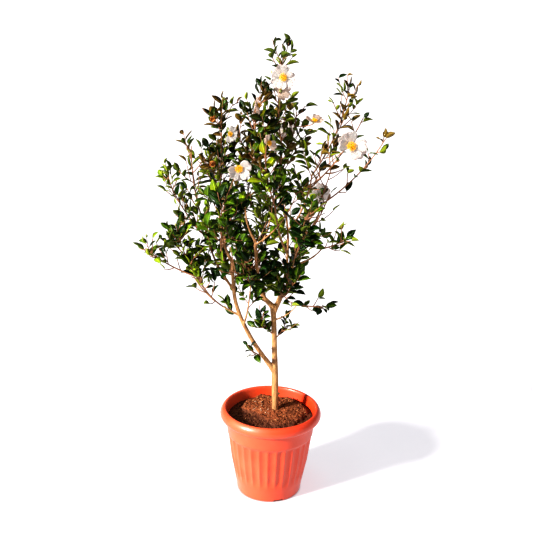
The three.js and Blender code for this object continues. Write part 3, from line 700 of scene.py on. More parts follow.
# %% Lay out the limbs and the stems of the masses
def trunk_radius(share):
    height = share * (TRUNK["fork"][2] - TRUNK["foot"][2])
    straight = mix(TRUNK["foot_radius"], TRUNK["fork_radius"], smooth(0.2, 0.62, share))
    flare = TRUNK["flare"] * math.exp(-height / TRUNK["flare_height"])
    return straight * (1 + flare + TRUNK["collar"] * smooth(0.9, 1, share))


trunk_curve = bowed(Vector(TRUNK["foot"]) - UP * 2, Vector(TRUNK["fork"]), Vector(TRUNK["bow"]))
limbs = {"trunk": (trunk_curve, trunk_radius)}
for name, (parent, share, tip, radii, *drawn) in BOUGHS.items():
    start = grows_from(limbs[parent][0], share)
    if drawn:
        curve = Drawn([start, *map(Vector, drawn[0]), Vector(tip)])
    else:
        curve = rising(start, Vector(tip), BOUGH_BOW)
    limbs[name] = (curve, lambda s, radii=radii: mix(*radii, s))

stems = {}
for name, (parent, share, tip, reach, _) in MASSES.items():
    start = grows_from(limbs[parent][0], share)
    away = (Vector(tip) - start).normalized()
    stems[name] = rising(start, Vector(tip) - away * SOLID_LEAF * 0.8, STEM_BOW)
print(len(limbs), "limbs and", len(stems), "masses laid out")


# %% [markdown]
# ## Room to grow
# A real shrub's shoots rarely touch. Each mass keeps to a space round its stem, slim at the
# foot and fullest past halfway, and all keep clear of the limbs and of the open flowers. The
# tests run tens of thousands of times, so they compare whole arrays of points at once.

# %% Tests for room
def bulge(share):
    """How full a mass is along its stem."""
    return mix(0.5, 1, math.sin(math.pi * mix(0.12, 0.86, share)))


mass_names = list(MASSES)
space_spots = np.array([stems[name].at(s) for name in mass_names for s in spread(0, 1, 13)])
space_reach = np.array([MASSES[name][3] * bulge(s) for name in mass_names for s in spread(0, 1, 13)])
limb_spots, limb_radii = [], []
for curve, radius_at in limbs.values():
    for share in spread(0, 1, math.ceil(length_of(curve) / 5) + 1):
        limb_spots.append(curve.at(share))
        limb_radii.append(radius_at(share))
limb_spots, limb_radii = np.array(limb_spots), np.array(limb_radii)
flower_balls = []
for _, centre, faces, size in FLOWERS:
    for ahead in (0, 0.4):
        flower_balls.append((*(Vector(centre) + Vector(faces).normalized() * size * ahead), size * 0.55))
flower_balls = np.array(flower_balls)


def distances(places, spots):
    """The distance from each place to each spot."""
    return np.linalg.norm(places[:, None, :] - spots[None, :, :], axis=2)


def is_free(name, places, limb_gap, strict=True):
    """True where places are in the mass's own space, and clear of flowers and limbs."""
    if name in MASSES:
        depth = distances(places, space_spots) / space_reach
        depth = depth.reshape(len(places), len(mass_names), -1).min(axis=2)
        own = depth[:, mass_names.index(name)]
        if own.max() > 1:
            return False
        if strict:
            others = np.delete(depth, mass_names.index(name), axis=1).min(axis=1)
            if (others < own + 0.06).any():
                return False
    if (distances(places, flower_balls[:, :3]) < flower_balls[:, 3]).any():
        return False
    return not (distances(places, limb_spots) < limb_radii + limb_gap).any()


def stream(seed):
    """A stream of even numbers from 0 to 1, the same on every run: a linear congruential one."""
    state = (seed + 1) * 2654435761 & 0xFFFFFFFF

    def draw():
        nonlocal state
        state = (state * 1664525 + 1013904223) & 0xFFFFFFFF
        return state / 2 ** 32

    return draw


# %% [markdown]
# ## Shoots and buds
# A shoot is a curve with buds round it, each turned by the golden angle from the last, so that
# no leaf shades the next. The stems and main twigs repeat the solids' own. Thinner shoots then
# leave the twigs, and leaves of real size stand along all of them.

# %% Plan the stems and the main twigs
def frames(curve, side, shares):
    """Points on a curve with its way there, and a side direction that follows the bends."""
    made = []
    for share in shares:
        along = way(curve, share)
        side = (side - along * side.dot(along)).normalized()
        made.append((share, curve.at(share), along, side))
    return made


def square_to(direction):
    """A direction square to another."""
    return direction.cross(Vector((0, 1, 0)) if abs(direction.z) > 0.9 else UP).normalized()


def buds_on(curve, side, radii, shares, first=0):
    """Buds round a shoot: each has its share, base, way along the shoot and way out."""
    made = []
    for k, (share, centre, along, here) in enumerate(frames(curve, side, shares)):
        out = Quaternion(along, FULL_TURN / 6 + GOLDEN_ANGLE * (k + first)) @ here
        base = centre + out * mix(*radii, share) * 0.5 + along * 0.9
        made.append({"share": share, "base": base, "along": along, "out": out})
    return made


def spots_on(curve, step=5):
    """Places along a curve, a step apart."""
    return np.array([curve.at(s) for s in spread(0, 1, math.ceil(length_of(curve) / step) + 1)])


grown = []  # what stands already: its owner and its places


def is_apart(places, owner, gap):
    """True where places keep a gap from all that has grown, other than their own shoot."""
    for other, spots in grown:
        if other is not owner and distances(places, spots).min() <= gap:
            return False
    return True


def heading_from(bud, rule):
    """The way in which a shoot leaves its bud."""
    return bud["along"] * math.cos(rule["angle"]) + bud["out"] * math.sin(rule["angle"])


def shoot_curve(bud, rule, length):
    """The curve of a shoot that leaves its bud at the rule's angle and lifts."""
    heading = heading_from(bud, rule)
    tip = bud["base"] + heading * length + UP * rule["lift"] * length
    return Bow(bud["base"], bud["base"] + heading * length * 0.5, tip)


def plan_twig(name, bud, full_length, owner):
    """A twig at a bud, shorter where there is no room, or none at all."""
    for cut in (1, 0.75, 0.5):
        curve = shoot_curve(bud, TWIG, max(TWIG["shortest"], full_length * cut))
        places = spots_on(curve)[2:]
        if is_free(name, places, TWIG["limb_gap"]) and is_apart(places, owner, TWIG["twig_gap"]):
            grown.append((curve, places))
            return curve
    return None


def plan_stalk(bud, flower):
    """The curve of a flower's stalk, which bends round to come in from behind."""
    _, centre, faces, size = flower
    facing = Vector(faces).normalized()
    back = Vector(centre) - facing * size * 0.1
    curve = Bow(bud["base"], bud["base"] + bud["out"] * 8, back - facing * size * 0.25, back)
    grown.append((curve, spots_on(curve)[1:]))
    return curve


def spray_on(curve, mass, side, radii, rank, parent=None):
    """A shoot that carries leaves. Its rank is 0 for a stem, 1 for a twig, 2 for a fine shoot."""
    return {"curve": curve, "mass": mass, "side": side, "radii": radii, "rank": rank, "parent": parent}


sprays, stalks = [], []
for seed, (name, (_, _, _, reach, twigs)) in enumerate(MASSES.items()):
    curve, draw = stems[name], stream(seed)
    along = way(curve, 0)
    side = Quaternion(along, draw() * FULL_TURN) @ square_to(along)
    buds = buds_on(curve, side, STEM_RADII, spread(0.1, 0.94, twigs))
    grown.append((curve, spots_on(curve)))
    sprays.append(spray_on(curve, name, side, STEM_RADII, 0))
    for flower in (one for one in FLOWERS if one[0] == name):
        bud = max(buds, key=lambda b: (Vector(flower[1]) - b["base"]).normalized().dot(b["out"]))
        bud["flowers"] = True
        stalks.append(plan_stalk(bud, flower))
    for bud in buds:
        longest = reach * bulge(bud["share"]) * mix(*TWIG["reach"], draw()) - SOLID_LEAF * 0.45
        twig = None if "flowers" in bud else plan_twig(name, bud, longest, curve)
        if twig:
            sprays.append(spray_on(twig, name, bud["along"], TWIG_RADII, 1))
print(len(sprays), "stems and twigs,", len(stalks), "flower stalks")


# %% [markdown]
# ## What the photograph shows through the crown
# From the front some limbs are plain to see, and between the masses there are openings with
# sky. Leaves and shoots are therefore also tested as the camera sees them, on a picture 533
# wide: none hides one of those limbs, and few grow in front of or behind an opening.

# %% Keep limbs in sight and openings open
PICTURE = 533
SEEN = {  # the parts of the limbs that no leaf hides from the front
    "left_stem": (0.5, 1), "left_stem_top": (0, 0.6), "left_low_bough": (0.4, 1),
    "middle_stem": (0.65, 0.95), "middle_stem_top": (0.2, 0.9), "right_stem": (0.05, 0.3),
    "leader": (0.6, 0.9),
}
SEEN_MARGIN, PIXELS_PER_MM = 2, 0.35  # mm kept free beside a limb, and the picture's scale there
OPENINGS = [  # across and down the picture, how wide, and the share of shoots that is left there
    (222, 88, 15, 0), (307, 114, 14, 0.4), (306, 92, 14, 0.1), (194, 142, 15, 0.3),
    (195, 168, 11, 0.5), (335, 168, 12, 0.5), (334, 192, 15, 0.1), (333, 217, 13, 0.2),
    (279, 170, 16, 0.4), (279, 197, 14, 0.3), (163, 217, 17, 0.15), (208, 222, 20, 0.3),
    (184, 262, 12, 0.4), (166, 268, 10, 0.3), (196, 303, 12, 0.1), (306, 288, 15, 0.2),
    (362, 243, 12, 0.2), (362, 92, 13, 0.15), (139, 243, 12, 0.25), (279, 219, 12, 0.5),
    (307, 218, 13, 0.45), (206, 312, 10, 0.2), (292, 104, 11, 0.4), (321, 178, 10, 0.5),
    (294, 76, 9, 0.2), (219, 83, 9, 0), (179, 285, 15, 0.1), (290, 240, 9, 0.5),
    (265, 160, 9, 0.5),
]
opening_draw = stream(505)


def as_seen(places):
    """Places in mm as the camera sees them: across and down its picture, and how far away."""
    rays = np.array(places) * MM - np.array(EYE)
    away = rays @ np.array(looks)
    flat = rays @ np.array((right, -upward)).T / away[:, None]
    return flat * camera.data.lens / camera.data.sensor_width * PICTURE + PICTURE / 2, away / MM


seen_spots = []
for name, stretch in SEEN.items():
    curve, radius_at = limbs[name]
    seen_spots += [(curve.at(s), radius_at(s)) for s in spread(*stretch, 24)]
seen_flat, seen_away = as_seen([spot for spot, _ in seen_spots])
seen_half = np.array([(radius + SEEN_MARGIN) * PIXELS_PER_MM for _, radius in seen_spots])


def hides_a_limb(spots):
    """True where a leaf would cover a limb that the photograph shows."""
    flat, away = as_seen(spots)
    near = np.linalg.norm(flat[:, None, :] - seen_flat[None, :, :], axis=2) < seen_half
    return bool((near & (away[:, None] < seen_away[None, :])).any())


def is_left_open(place):
    """True by chance where the place is in an opening."""
    (x, y), = as_seen([place])[0]
    for across, down, wide, share in OPENINGS:
        if math.hypot(x - across, y - down) < wide:
            return opening_draw() > share
    return False


# %% [markdown]
# ## Fine shoots and real leaves
# The solids' leaves are few and large. Here each main twig branches once more, and leaves of
# 22 to 46 mm stand a finger's width apart. A leaf or shoot that would leave the mass's space
# or meet another is made smaller or left out.

# %% Grow the fine shoots
SHOOT = {
    "radii": (1.35, 0.9), "angle": 0.75, "lift": 0.35, "lengths": (34, 62),
    "on_stem": 40, "on_twig": 24, "limb_gap": 3,
}
INNER = {"spacing": 24, "lengths": (36, 78), "bare": 0.12, "front": -0.3}
BARE = {"left_stem": 0.55, "left_low_bough": 0.3, "right_low_bough": 0.9, "inner_left_bough": 0.4}
FULLNESS = {  # how full the masses and the shoots on the boughs are, where the rest are 1
    "top_mass": 0.85, "inner_high_mass": 1.3, "left_shoulder_mass": 0.45, "left_far_mass": 0.5,
    "left_low_mass": 0.5, "left_under_mass": 1.6, "low_left_mass": 0.12, "back_left_mass": 0.3,
    "back_right_mass": 0.12, "back_high_mass": 0.3, "centre_mass": 0.7, "front_high_mass": 0.9,
    "front_left_mass": 1.5, "front_low_mass": 2, "front_right_mass": 0.8, "high_right_mass": 0.6,
    "high_side_mass": 0.06, "flower_side_mass": 0.12, "right_mass": 0.08, "right_inner_mass": 0.03,
    "right_mid_mass": 0.15, "right_low_mass": 0.12, "fork_sprig": 1.6, "left_sprig": 0.6,
    "right_sprig": 1.6, "left_stem_top": 1.5, "inner_left_bough": 1.5, "left_side_bough": 1.5,
    "left_low_bough": 0.5, "front_high_bough": 0.2, "high_right_bough": 1.8, "right_stem_top": 0.3,
    "right_mid_bough": 0.2, "back_right_bough": 0.5, "right_front_bough": 0.9, "leader": 1.4,
}
LEAF = {"lengths": (22, 46), "spacing": 10.2, "angle": (0.6, 1.15), "gap": 2.2, "limb_gap": 1.5}
NEIGHBOURS = [(x, y, z) for x in (-1, 0, 1) for y in (-1, 0, 1) for z in (-1, 0, 1)]
filled = {}  # cells of space that a leaf, a shoot or a stalk takes up


def cell(place):
    return tuple(int(math.floor(v / LEAF["gap"])) for v in place)


def take(places, owner):
    for place in places:
        filled.setdefault(cell(place), owner)


def is_clear(places, owners):
    """True where no cell at or beside the places is taken by another."""
    for place in places:
        x, y, z = cell(place)
        if any(filled.get((x + dx, y + dy, z + dz)) not in owners for dx, dy, dz in NEIGHBOURS):
            return False
    return True


for spray in sprays:
    take(spots_on(spray["curve"], 2), id(spray["curve"]))
for curve in stalks:
    take(spots_on(curve, 2)[2:], id(curve))
draw = stream(101)
fine_shoots = []


def grow_shoot(mass, bud, wanted, parent, hidden):
    """Adds a fine shoot at a bud, shorter where there is no room, or none at all."""
    if is_left_open(bud["base"] + heading_from(bud, SHOOT) * wanted * 0.7):
        return
    for cut in (1, 0.75, 0.55):
        curve = shoot_curve(bud, SHOOT, wanted * cut)
        places = spots_on(curve, 2)
        beyond = places[hidden:]
        if is_free(mass, beyond, SHOOT["limb_gap"], strict=False) and is_clear(beyond, (None, parent)):
            take(places, id(curve))
            fine_shoots.append(spray_on(curve, mass, bud["along"], SHOOT["radii"], 2, parent))
            break


for spray in sprays:
    apart = SHOOT["on_twig" if spray["rank"] else "on_stem"] / FULLNESS.get(spray["mass"], 1)
    count = round(length_of(spray["curve"]) / apart)
    for bud in buds_on(spray["curve"], spray["side"], spray["radii"], spread(0.16, 0.9, count), first=2):
        grow_shoot(spray["mass"], bud, mix(*SHOOT["lengths"], draw()), id(spray["curve"]), 3)
outer = len(fine_shoots)
for name in BOUGHS:
    curve, radius_at = limbs[name]
    bare = BARE.get(name, INNER["bare"])
    count = round(length_of(curve) * (1 - bare) * FULLNESS.get(name, 1) / INNER["spacing"])
    radii = (radius_at(0), radius_at(1))
    for bud in buds_on(curve, square_to(way(curve, 0)), radii, spread(bare, 0.97, count)):
        if bud["out"].y > INNER["front"]:
            grow_shoot(name, bud, mix(*INNER["lengths"], draw()), id(curve), 3 + round(radii[0] * 1.3))
print(outer, "fine shoots in the masses and", len(fine_shoots) - outer, "on the boughs")


# %% Grow the leaves
def leaf_pose(bud, angle, length, tilt, turn):
    """A leaf's place: its foot, its axis and the way its face looks."""
    out = bud["out"].copy()
    out.z = abs(out.z) * 0.5 if out.z < 0 else out.z
    axis = (bud["along"] * math.cos(angle) + out.normalized() * math.sin(angle)).normalized()
    axis = (axis + UP * tilt).normalized()
    outward = Vector((bud["base"].x, bud["base"].y, 0)).normalized()
    face = UP + outward * 0.6 + bud["out"] * turn
    face = (face - axis * face.dot(axis)).normalized()
    return {"foot": bud["base"], "axis": axis, "face": face, "length": length}


def leaf_spots(pose):
    """Places spread over a leaf's blade."""
    across = pose["axis"].cross(pose["face"])
    spots = []
    for share, half in ((0.22, 0.1), (0.45, 0.2), (0.7, 0.18), (1, 0)):
        middle = pose["foot"] + pose["axis"] * share * pose["length"] - pose["face"] * share ** 2 * 2
        for side in (-1, 0, 1) if half else (0,):
            spots.append(middle + across * side * half * pose["length"])
    return np.array(spots)


leaves = []
for number, spray in enumerate(sprays + fine_shoots):
    curve, mass = spray["curve"], spray["mass"]
    length = length_of(curve)
    count = max(2, round(length * FULLNESS.get(mass, 1) ** 0.5 / LEAF["spacing"]))
    buds = buds_on(curve, spray["side"], spray["radii"], spread(0.2, 0.93, count), first=1)
    last = way(curve, 1)
    buds.append({"share": 1, "base": curve.at(1), "along": last, "out": square_to(last)})
    for bud in buds:
        if spray["rank"] < 2 and is_left_open(bud["base"] + bud["out"] * 12):
            continue
        size = mix(*LEAF["lengths"], draw()) * (0.86 if bud["share"] > 0.9 else 1)
        angle = 0.2 if bud["share"] == 1 else mix(*LEAF["angle"], draw())
        tilt, turn = mix(-0.42, 0.42, draw()), mix(-0.8, 0.8, draw())
        for cut in (1, 0.86, 0.72):
            pose = leaf_pose(bud, angle, size * cut, tilt, turn)
            spots = leaf_spots(pose)
            clear = is_clear(spots, (None, id(curve), spray["parent"]))
            if clear and not hides_a_limb(spots) and is_free(mass, spots, LEAF["limb_gap"], False):
                take(spots, id(pose))
                pose.update(spray=number, mass=mass)
                leaves.append(pose)
                break
print(len(leaves), "leaves")


# %% [markdown]
# ## Wood and bark
# The trunk and boughs are smooth, tan, and a little lumpy where a bough leaves. Each limb is a
# tapering tube with a swollen foot. A voxel remesh fuses the tubes into one skin, which gives
# the soft webs at the forks that real wood has, and a fine relief is pushed into that skin.

# %% Tubes along curves
def tubes(lines, name, resolution):
    """One mesh of round tubes. Each line is its points in mm with a radius for each."""
    data = bpy.data.curves.new(name, "CURVE")
    data.dimensions = "3D"
    data.bevel_depth = MM
    data.bevel_resolution = resolution
    data.use_fill_caps = True
    for points, radii in lines:
        line = data.splines.new("POLY")
        line.points.add(len(points) - 1)
        line.points.foreach_set("co", [v for point in points for v in (*(point * MM), 1)])
        line.points.foreach_set("radius", radii)
    shape = bmesh.new()
    shape.from_mesh(worked_out(added(name, data)))
    bmesh.ops.remove_doubles(shape, verts=shape.verts, dist=1e-6)
    bmesh.ops.recalc_face_normals(shape, faces=shape.faces)
    return mesh_of(shape, name)


SLIMMER = {  # limbs that are thinner in the photograph than in the solids
    "left_low_bough": 0.74, "middle_stem_top": 0.78, "centre_bough": 0.75, "crossing_bough": 0.7,
    "right_low_bough": 0.78, "leader": 0.88, "inner_left_bough": 0.8,
}


def limb_line(name):
    """A limb's points and radii: a bough swells at its foot, and the trunk is slimmer there."""
    curve, radius_at = limbs[name]
    length = length_of(curve)
    shares = spread(0, 1, max(6, round(length / 7)))
    points = [curve.at(s) for s in shares]
    radii = []
    for share in shares:
        swollen = 0.42 * math.exp(-share * length / 20)
        if name == "trunk":
            swollen = -0.24 * math.exp(-share * length / 14) - 0.1 * smooth(0.45, 0.1, share)
        radii.append(radius_at(share) * SLIMMER.get(name, 1) * (1.04 + swollen))
    if name == "trunk":
        points, radii = [points[0] - UP * 4, *points], [radii[0] * 1.05, *radii]
    return points, radii


KNOTS = [  # how far up the trunk, the turn from its front, the radius, and how proud it stands
    (0.16, 1.5, 4.0, 4.2), (0.3, 3.4, 2.8, 1.8), (0.52, 0.4, 3.2, 1.8), (0.6, 4.4, 3.0, 2.4),
    (0.78, 2.2, 2.8, 1.8),
]
wood_lines = [limb_line(name) for name in limbs]
for share, turn, radius, proud in KNOTS:
    centre, out = trunk_curve.at(share), Vector((math.sin(turn), -math.cos(turn), 0.3))
    surface = trunk_radius(share)
    points = [centre, centre + out * (surface * 0.8), centre + out * (surface + proud)]
    wood_lines.append((points, [radius, radius, radius * 0.6]))
wood = with_modifier(tubes(wood_lines, "limbs", 3), "REMESH", mode="VOXEL", voxel_size=0.00125)
bark_shape = bmesh.new()
bark_shape.from_mesh(wood)
axes = {f"use_axis_{axis}": True for axis in "xyz"}
for _ in range(4):
    bmesh.ops.smooth_vert(bark_shape, verts=bark_shape.verts, factor=0.5, **axes)
bark_shape.normal_update()
for vert in bark_shape.verts:
    place = vert.co / MM
    grain = noise.noise(Vector((place.x / 5, place.y / 5, place.z / 26))) * 0.45
    lumps = noise.noise(place / 14) * 0.4
    vert.co += vert.normal * (grain + lumps + 0.12) * MM
bark_mesh = mesh_of(bark_shape, "bark")

bark = Finish("tan_bark", (0.50, 0.27, 0.11), Roughness=0.72)
streaks = bark.speckle(0.004, 4.0, stretch=(1, 1, 0.16), rough=0.65)
patches = bark.speckle(0.022, 4.0, stretch=(1, 1, 0.45), rough=0.6)
tan = bark.blend(streaks.rises(0.36, 0.68), (0.52, 0.285, 0.115), (0.31, 0.15, 0.06))
brown = bark.blend(patches.rises(0.52, 0.74), tan, (0.20, 0.09, 0.038))
aloft = bark.part(bark.place(), 2).rises(0.66, 0.92)
brown = bark.blend(aloft * 0.5, brown, (0.22, 0.09, 0.05))
scars = bark.speckle(0.0035, 2.0, stretch=(1, 1, 1.6)).rises(0.66, 0.74)
bark.in_spots(scars * 0.6, brown, (0.66, 0.43, 0.22))
bark.shows(Roughness=0.6 + streaks * 0.25)
bark.relief(streaks * 0.7 + patches * 0.3, 0.0007)
make_piece("trunk_and_boughs", bark_mesh, bark, list(limbs))

# %% Make the twigs
STALK_RADIUS = 1.3
twig_lines = []
for spray in sprays + fine_shoots:
    curve = spray["curve"]
    start, end = spray["radii"]
    shares = spread(0, 1, max(4, round(length_of(curve) / 9)))
    points = [curve.at(s) for s in shares]
    radii = [mix(start, end, s) * (0.9 if spray["rank"] else 1) for s in shares]
    if spray["rank"] == 0:
        points, radii = [points[0] - way(curve, 0) * 4, *points], [radii[0] * 1.15, *radii]
    twig_lines.append((points, radii))
for curve in stalks:
    twig_lines.append(([curve.at(s) for s in spread(0, 1, 8)], [STALK_RADIUS] * 8))
twig_bark = Finish("twig_bark", (0.20, 0.09, 0.045), Roughness=0.6)
darker = twig_bark.speckle(0.05, 2.0).rises(0.4, 0.7)
twig_bark.in_spots(darker, (0.32, 0.14, 0.065), (0.15, 0.07, 0.025))
twig_bark.relief(twig_bark.speckle(0.0025, 3.0, stretch=(1, 1, 0.4)), 0.0004)
make_piece("twigs", tubes(twig_lines, "twigs", 1), twig_bark, mass_names)


# %% [markdown]
# ## Leaves
# A camellia leaf is a pointed oval, thick and glossy, folded a little along its midrib, with
# its tip bent down and a paler underside. One flat grid is shaped into the upper face, and
# its reversed copy, joined at the outline, is the underside. The UV map runs across and along
# the leaf, and the underside's is set one unit further, so that the finish can tell them.

# %% Model one leaf
LEAF_OUTLINE = [  # share of the length, and half the width there
    (0, 0.02), (0.09, 0.03), (0.2, 0.16), (0.38, 0.25), (0.56, 0.265), (0.74, 0.215), (0.9, 0.095), (1, 0),
]
UNDERSIDE_GAP = 0.014


def leaf_template(name, fold, droop, curl):
    """A leaf 1 m long along +Y from its foot, with its face up."""
    shape = bmesh.new()
    bmesh.ops.create_grid(shape, x_segments=2, y_segments=len(LEAF_OUTLINE) - 1, size=1)
    uv = shape.loops.layers.uv.new("leaf")
    rows = sorted({round(v.co.y, 4) for v in shape.verts})
    grid = {v: (v.co.x, *LEAF_OUTLINE[rows.index(round(v.co.y, 4))]) for v in shape.verts}
    for vert, (side, share, half) in grid.items():
        rise = fold * half * abs(side) - droop * share ** 2 + curl * math.sin(6 * share + side) * half
        vert.co = (side * half, share, rise)
    upper = list(shape.faces)
    for face in upper:
        for loop in face.loops:
            side, share, half = grid[loop.vert]
            loop[uv].uv = (0.5 + side / 2 if half else 0.5, share)
    copy = bmesh.ops.duplicate(shape, geom=shape.verts[:] + shape.edges[:] + upper)["geom"]
    lower = [item for item in copy if isinstance(item, bmesh.types.BMFace)]
    bmesh.ops.reverse_faces(shape, faces=lower)
    for face in lower:
        for loop in face.loops:
            loop[uv].uv = (loop[uv].uv[0] + 1, loop[uv].uv[1])
    for vert in {v for face in lower for v in face.verts}:
        if abs(vert.co.x) < 1e-6 and 0.01 < vert.co.y < 0.99:
            vert.co.z -= UNDERSIDE_GAP
    bmesh.ops.remove_doubles(shape, verts=shape.verts, dist=1e-5)
    if sum(face.normal.z > 0 for face in upper if face.is_valid) < len(upper) / 2:
        bmesh.ops.reverse_faces(shape, faces=shape.faces)
    return mesh_of(shape, name)


LEAF_SHAPES = [
    leaf_template("leaf flat", 0.35, 0.10, 0.06),
    leaf_template("leaf folded", 0.6, 0.16, -0.05),
    leaf_template("leaf curled", 0.45, 0.24, 0.12),
]
print("one leaf has", len(LEAF_SHAPES[0].polygons), "faces")


# %% [markdown]
# ## The leaves' colours
# Old leaves are deep green, others mid green, and new ones at the lower left and right fresh
# yellow-green. Near the top the young leaves are olive to bronze. Each spray takes one colour,
# so that neighbours match as they do on a plant, and each colour is a piece of its own.

# %% Sort the leaves by colour and set them down
TINTS = {  # upper face, its darker patches, and the underside
    "deep": ((0.009, 0.038, 0.001), (0.003, 0.012, 0.0005), (0.07, 0.10, 0.006)),
    "mid": ((0.068, 0.132, 0.002), (0.026, 0.060, 0.001), (0.16, 0.20, 0.008)),
    "fresh": ((0.20, 0.27, 0.008), (0.11, 0.19, 0.005), (0.28, 0.34, 0.03)),
    "bronze": ((0.084, 0.050, 0.003), (0.030, 0.018, 0.002), (0.16, 0.10, 0.012)),
}
OLIVE = {"from": 0.93, "to": 1.12, "right": (0.05, 0.14), "left_over": 0.4}  # metres and a share
CHANCES = {"deep": 0.45, "mid": 0.42, "fresh": 0.10, "bronze": 0.03}
BRIGHT_MASSES = (
    "left_low_mass", "left_under_mass", "low_left_mass", "right_mid_mass", "right_low_mass",
    "left_far_mass",
)
BRONZE_MASSES = ("high_left_mass", "left_shoulder_mass")


def tint_of(leaf, draw):
    """The colour of a leaf's spray, by chance and by its place."""
    height = leaf["foot"].z
    weights = dict(CHANCES)
    if leaf["mass"] == "top_mass":
        weights["fresh"] = 0.03
        weights["deep"] += 0.2
    else:
        bronzed = 0.4 if leaf["mass"] in BRONZE_MASSES else 0
        weights["bronze"] += 0.42 * smooth(920, 1120, height) + bronzed
        weights["deep"] -= 0.1 * smooth(950, 1150, height)
    weights["fresh"] += 0.32 if leaf["mass"] in BRIGHT_MASSES else 0
    pick = draw() * sum(weights.values())
    for tint, weight in weights.items():
        pick -= weight
        if pick < 0:
            return tint
    return "deep"


spray_tints = {}
tint_draw = stream(202)
sorted_leaves = {tint: [] for tint in TINTS}
for leaf in leaves:
    if leaf["spray"] not in spray_tints:
        spray_tints[leaf["spray"]] = tint_of(leaf, tint_draw)
    sorted_leaves[spray_tints[leaf["spray"]]].append(leaf)


def leaf_matrix(leaf):
    """The matrix that sets the shape of a leaf at its place."""
    across = leaf["axis"].cross(leaf["face"])
    turned = Matrix((across, leaf["axis"], leaf["face"])).transposed().to_4x4()
    return Matrix.Translation(leaf["foot"] * MM) @ turned @ Matrix.Scale(leaf["length"] * MM, 4)


def leaf_finish(name, upper, patchy, under):
    """Glossy leaf skin with a pale midrib and faint side veins, more olive near the top."""
    finish = Finish(name, upper, Roughness=0.24, Specular_IOR_Level=0.26)
    x, z = (finish.part(finish.place(), axis) for axis in (0, 2))
    less = x.rises(*OLIVE["right"]) * (1 - OLIVE["left_over"])
    high = z.rises(OLIVE["from"], OLIVE["to"]) * (1 - less)
    red, green, blue = upper
    olive = (0.5 * red + 0.65 * green, 0.8 * green, blue)
    across, along = finish.across("leaf")
    beneath = across.rises(0.999, 1.001)
    side = abs(across - beneath - 0.5) * 2
    midrib = (1 - side).rises(0.86, 0.97)
    veins = finish.lines(along * 58 - side * 9).rises(0.8, 1.0)
    patches = finish.speckle(0.016, 3.0).rises(0.38, 0.66)
    blade = finish.blend(patches, patchy, finish.blend(high, upper, olive))
    paler = tuple(min(c * 2.6 + 0.02, 1) for c in upper)
    finish.in_spots(beneath, finish.blend(midrib * 0.55 + veins * 0.12, blade, paler), under)
    finish.shows(Roughness=0.24 + beneath * 0.3 + finish.speckle(0.01, 2.0) * 0.12)
    finish.relief(midrib * -0.6 + veins * -0.25 + finish.speckle(0.006, 2.0) * 0.3, 0.0005)
    return finish


for tint, colours in TINTS.items():
    parts = []
    for k, template in enumerate(LEAF_SHAPES):
        chosen = [leaf_matrix(leaf) for leaf in sorted_leaves[tint][k::len(LEAF_SHAPES)]]
        if chosen:
            parts.append(dealt_out(template, chosen, "part"))
    make_piece(f"leaves_{tint}", joined(parts, tint), leaf_finish(f"{tint}_leaf", *colours))


# %% [markdown]
# ## Flowers
# Each flower is a shallow bowl of four to seven broad petals, notched at the rim, white with a
# breath of pink at the edges, round a dense tuft of orange-yellow stamens. A petal is a grid
# bent to shape. Each flower takes its petals at slightly different tilts.

# %% Model a petal and a stamen
def petal_template(name, ripple):
    """A petal 1 m long along +Y, cupped towards +Z."""
    shape = bmesh.new()
    bmesh.ops.create_grid(shape, x_segments=6, y_segments=6, size=1)
    uv = shape.loops.layers.uv.new("petal")
    sides = {vert: (vert.co.x, (vert.co.y + 1) / 2) for vert in shape.verts}
    for face in shape.faces:
        for loop in face.loops:
            loop[uv].uv = sides[loop.vert]
    for vert, (side, share) in sides.items():
        half = 0.08 + 0.33 * math.sin(math.pi * min(share * 0.66, 1)) ** 0.9
        rim = 1 - 0.12 * math.exp(-(side / 0.2) ** 2) - 0.17 * side ** 4
        length = 0.06 + 0.94 * share * mix(1, rim, share)
        cup = 0.2 * share + 0.05 * share ** 3 + 0.07 * side ** 2 * share
        wave = ripple * 0.05 * share ** 2 * math.sin(4.4 * side + 3 * ripple)
        vert.co = (side * half, length, cup + wave)
    bmesh.ops.solidify(shape, geom=shape.faces[:], thickness=0.012)
    bmesh.ops.recalc_face_normals(shape, faces=shape.faces)
    return mesh_of(shape, name)


def stamen_template():
    """A stamen 1 m long along +Z: a thin thread with a fat end."""
    shape = bmesh.new()
    middle, end = (Matrix.Translation((0, 0, height)) for height in (0.47, 0.95))
    bmesh.ops.create_cone(shape, segments=4, radius1=0.022, radius2=0.016, depth=0.94, matrix=middle,
                          cap_ends=True)
    bmesh.ops.create_icosphere(shape, subdivisions=1, radius=0.075, matrix=end)
    return mesh_of(shape, "stamen")


PETALS = [petal_template(f"petal {k}", ripple) for k, ripple in enumerate((-1, 0.4, 1))]
STAMEN = stamen_template()


def facing(centre, faces):
    """The matrix that sets a thing's middle at a place in mm, facing a way."""
    turned = Vector(faces).to_track_quat("Z", "Y").to_matrix().to_4x4()
    return Matrix.Translation(Vector(centre) * MM) @ turned


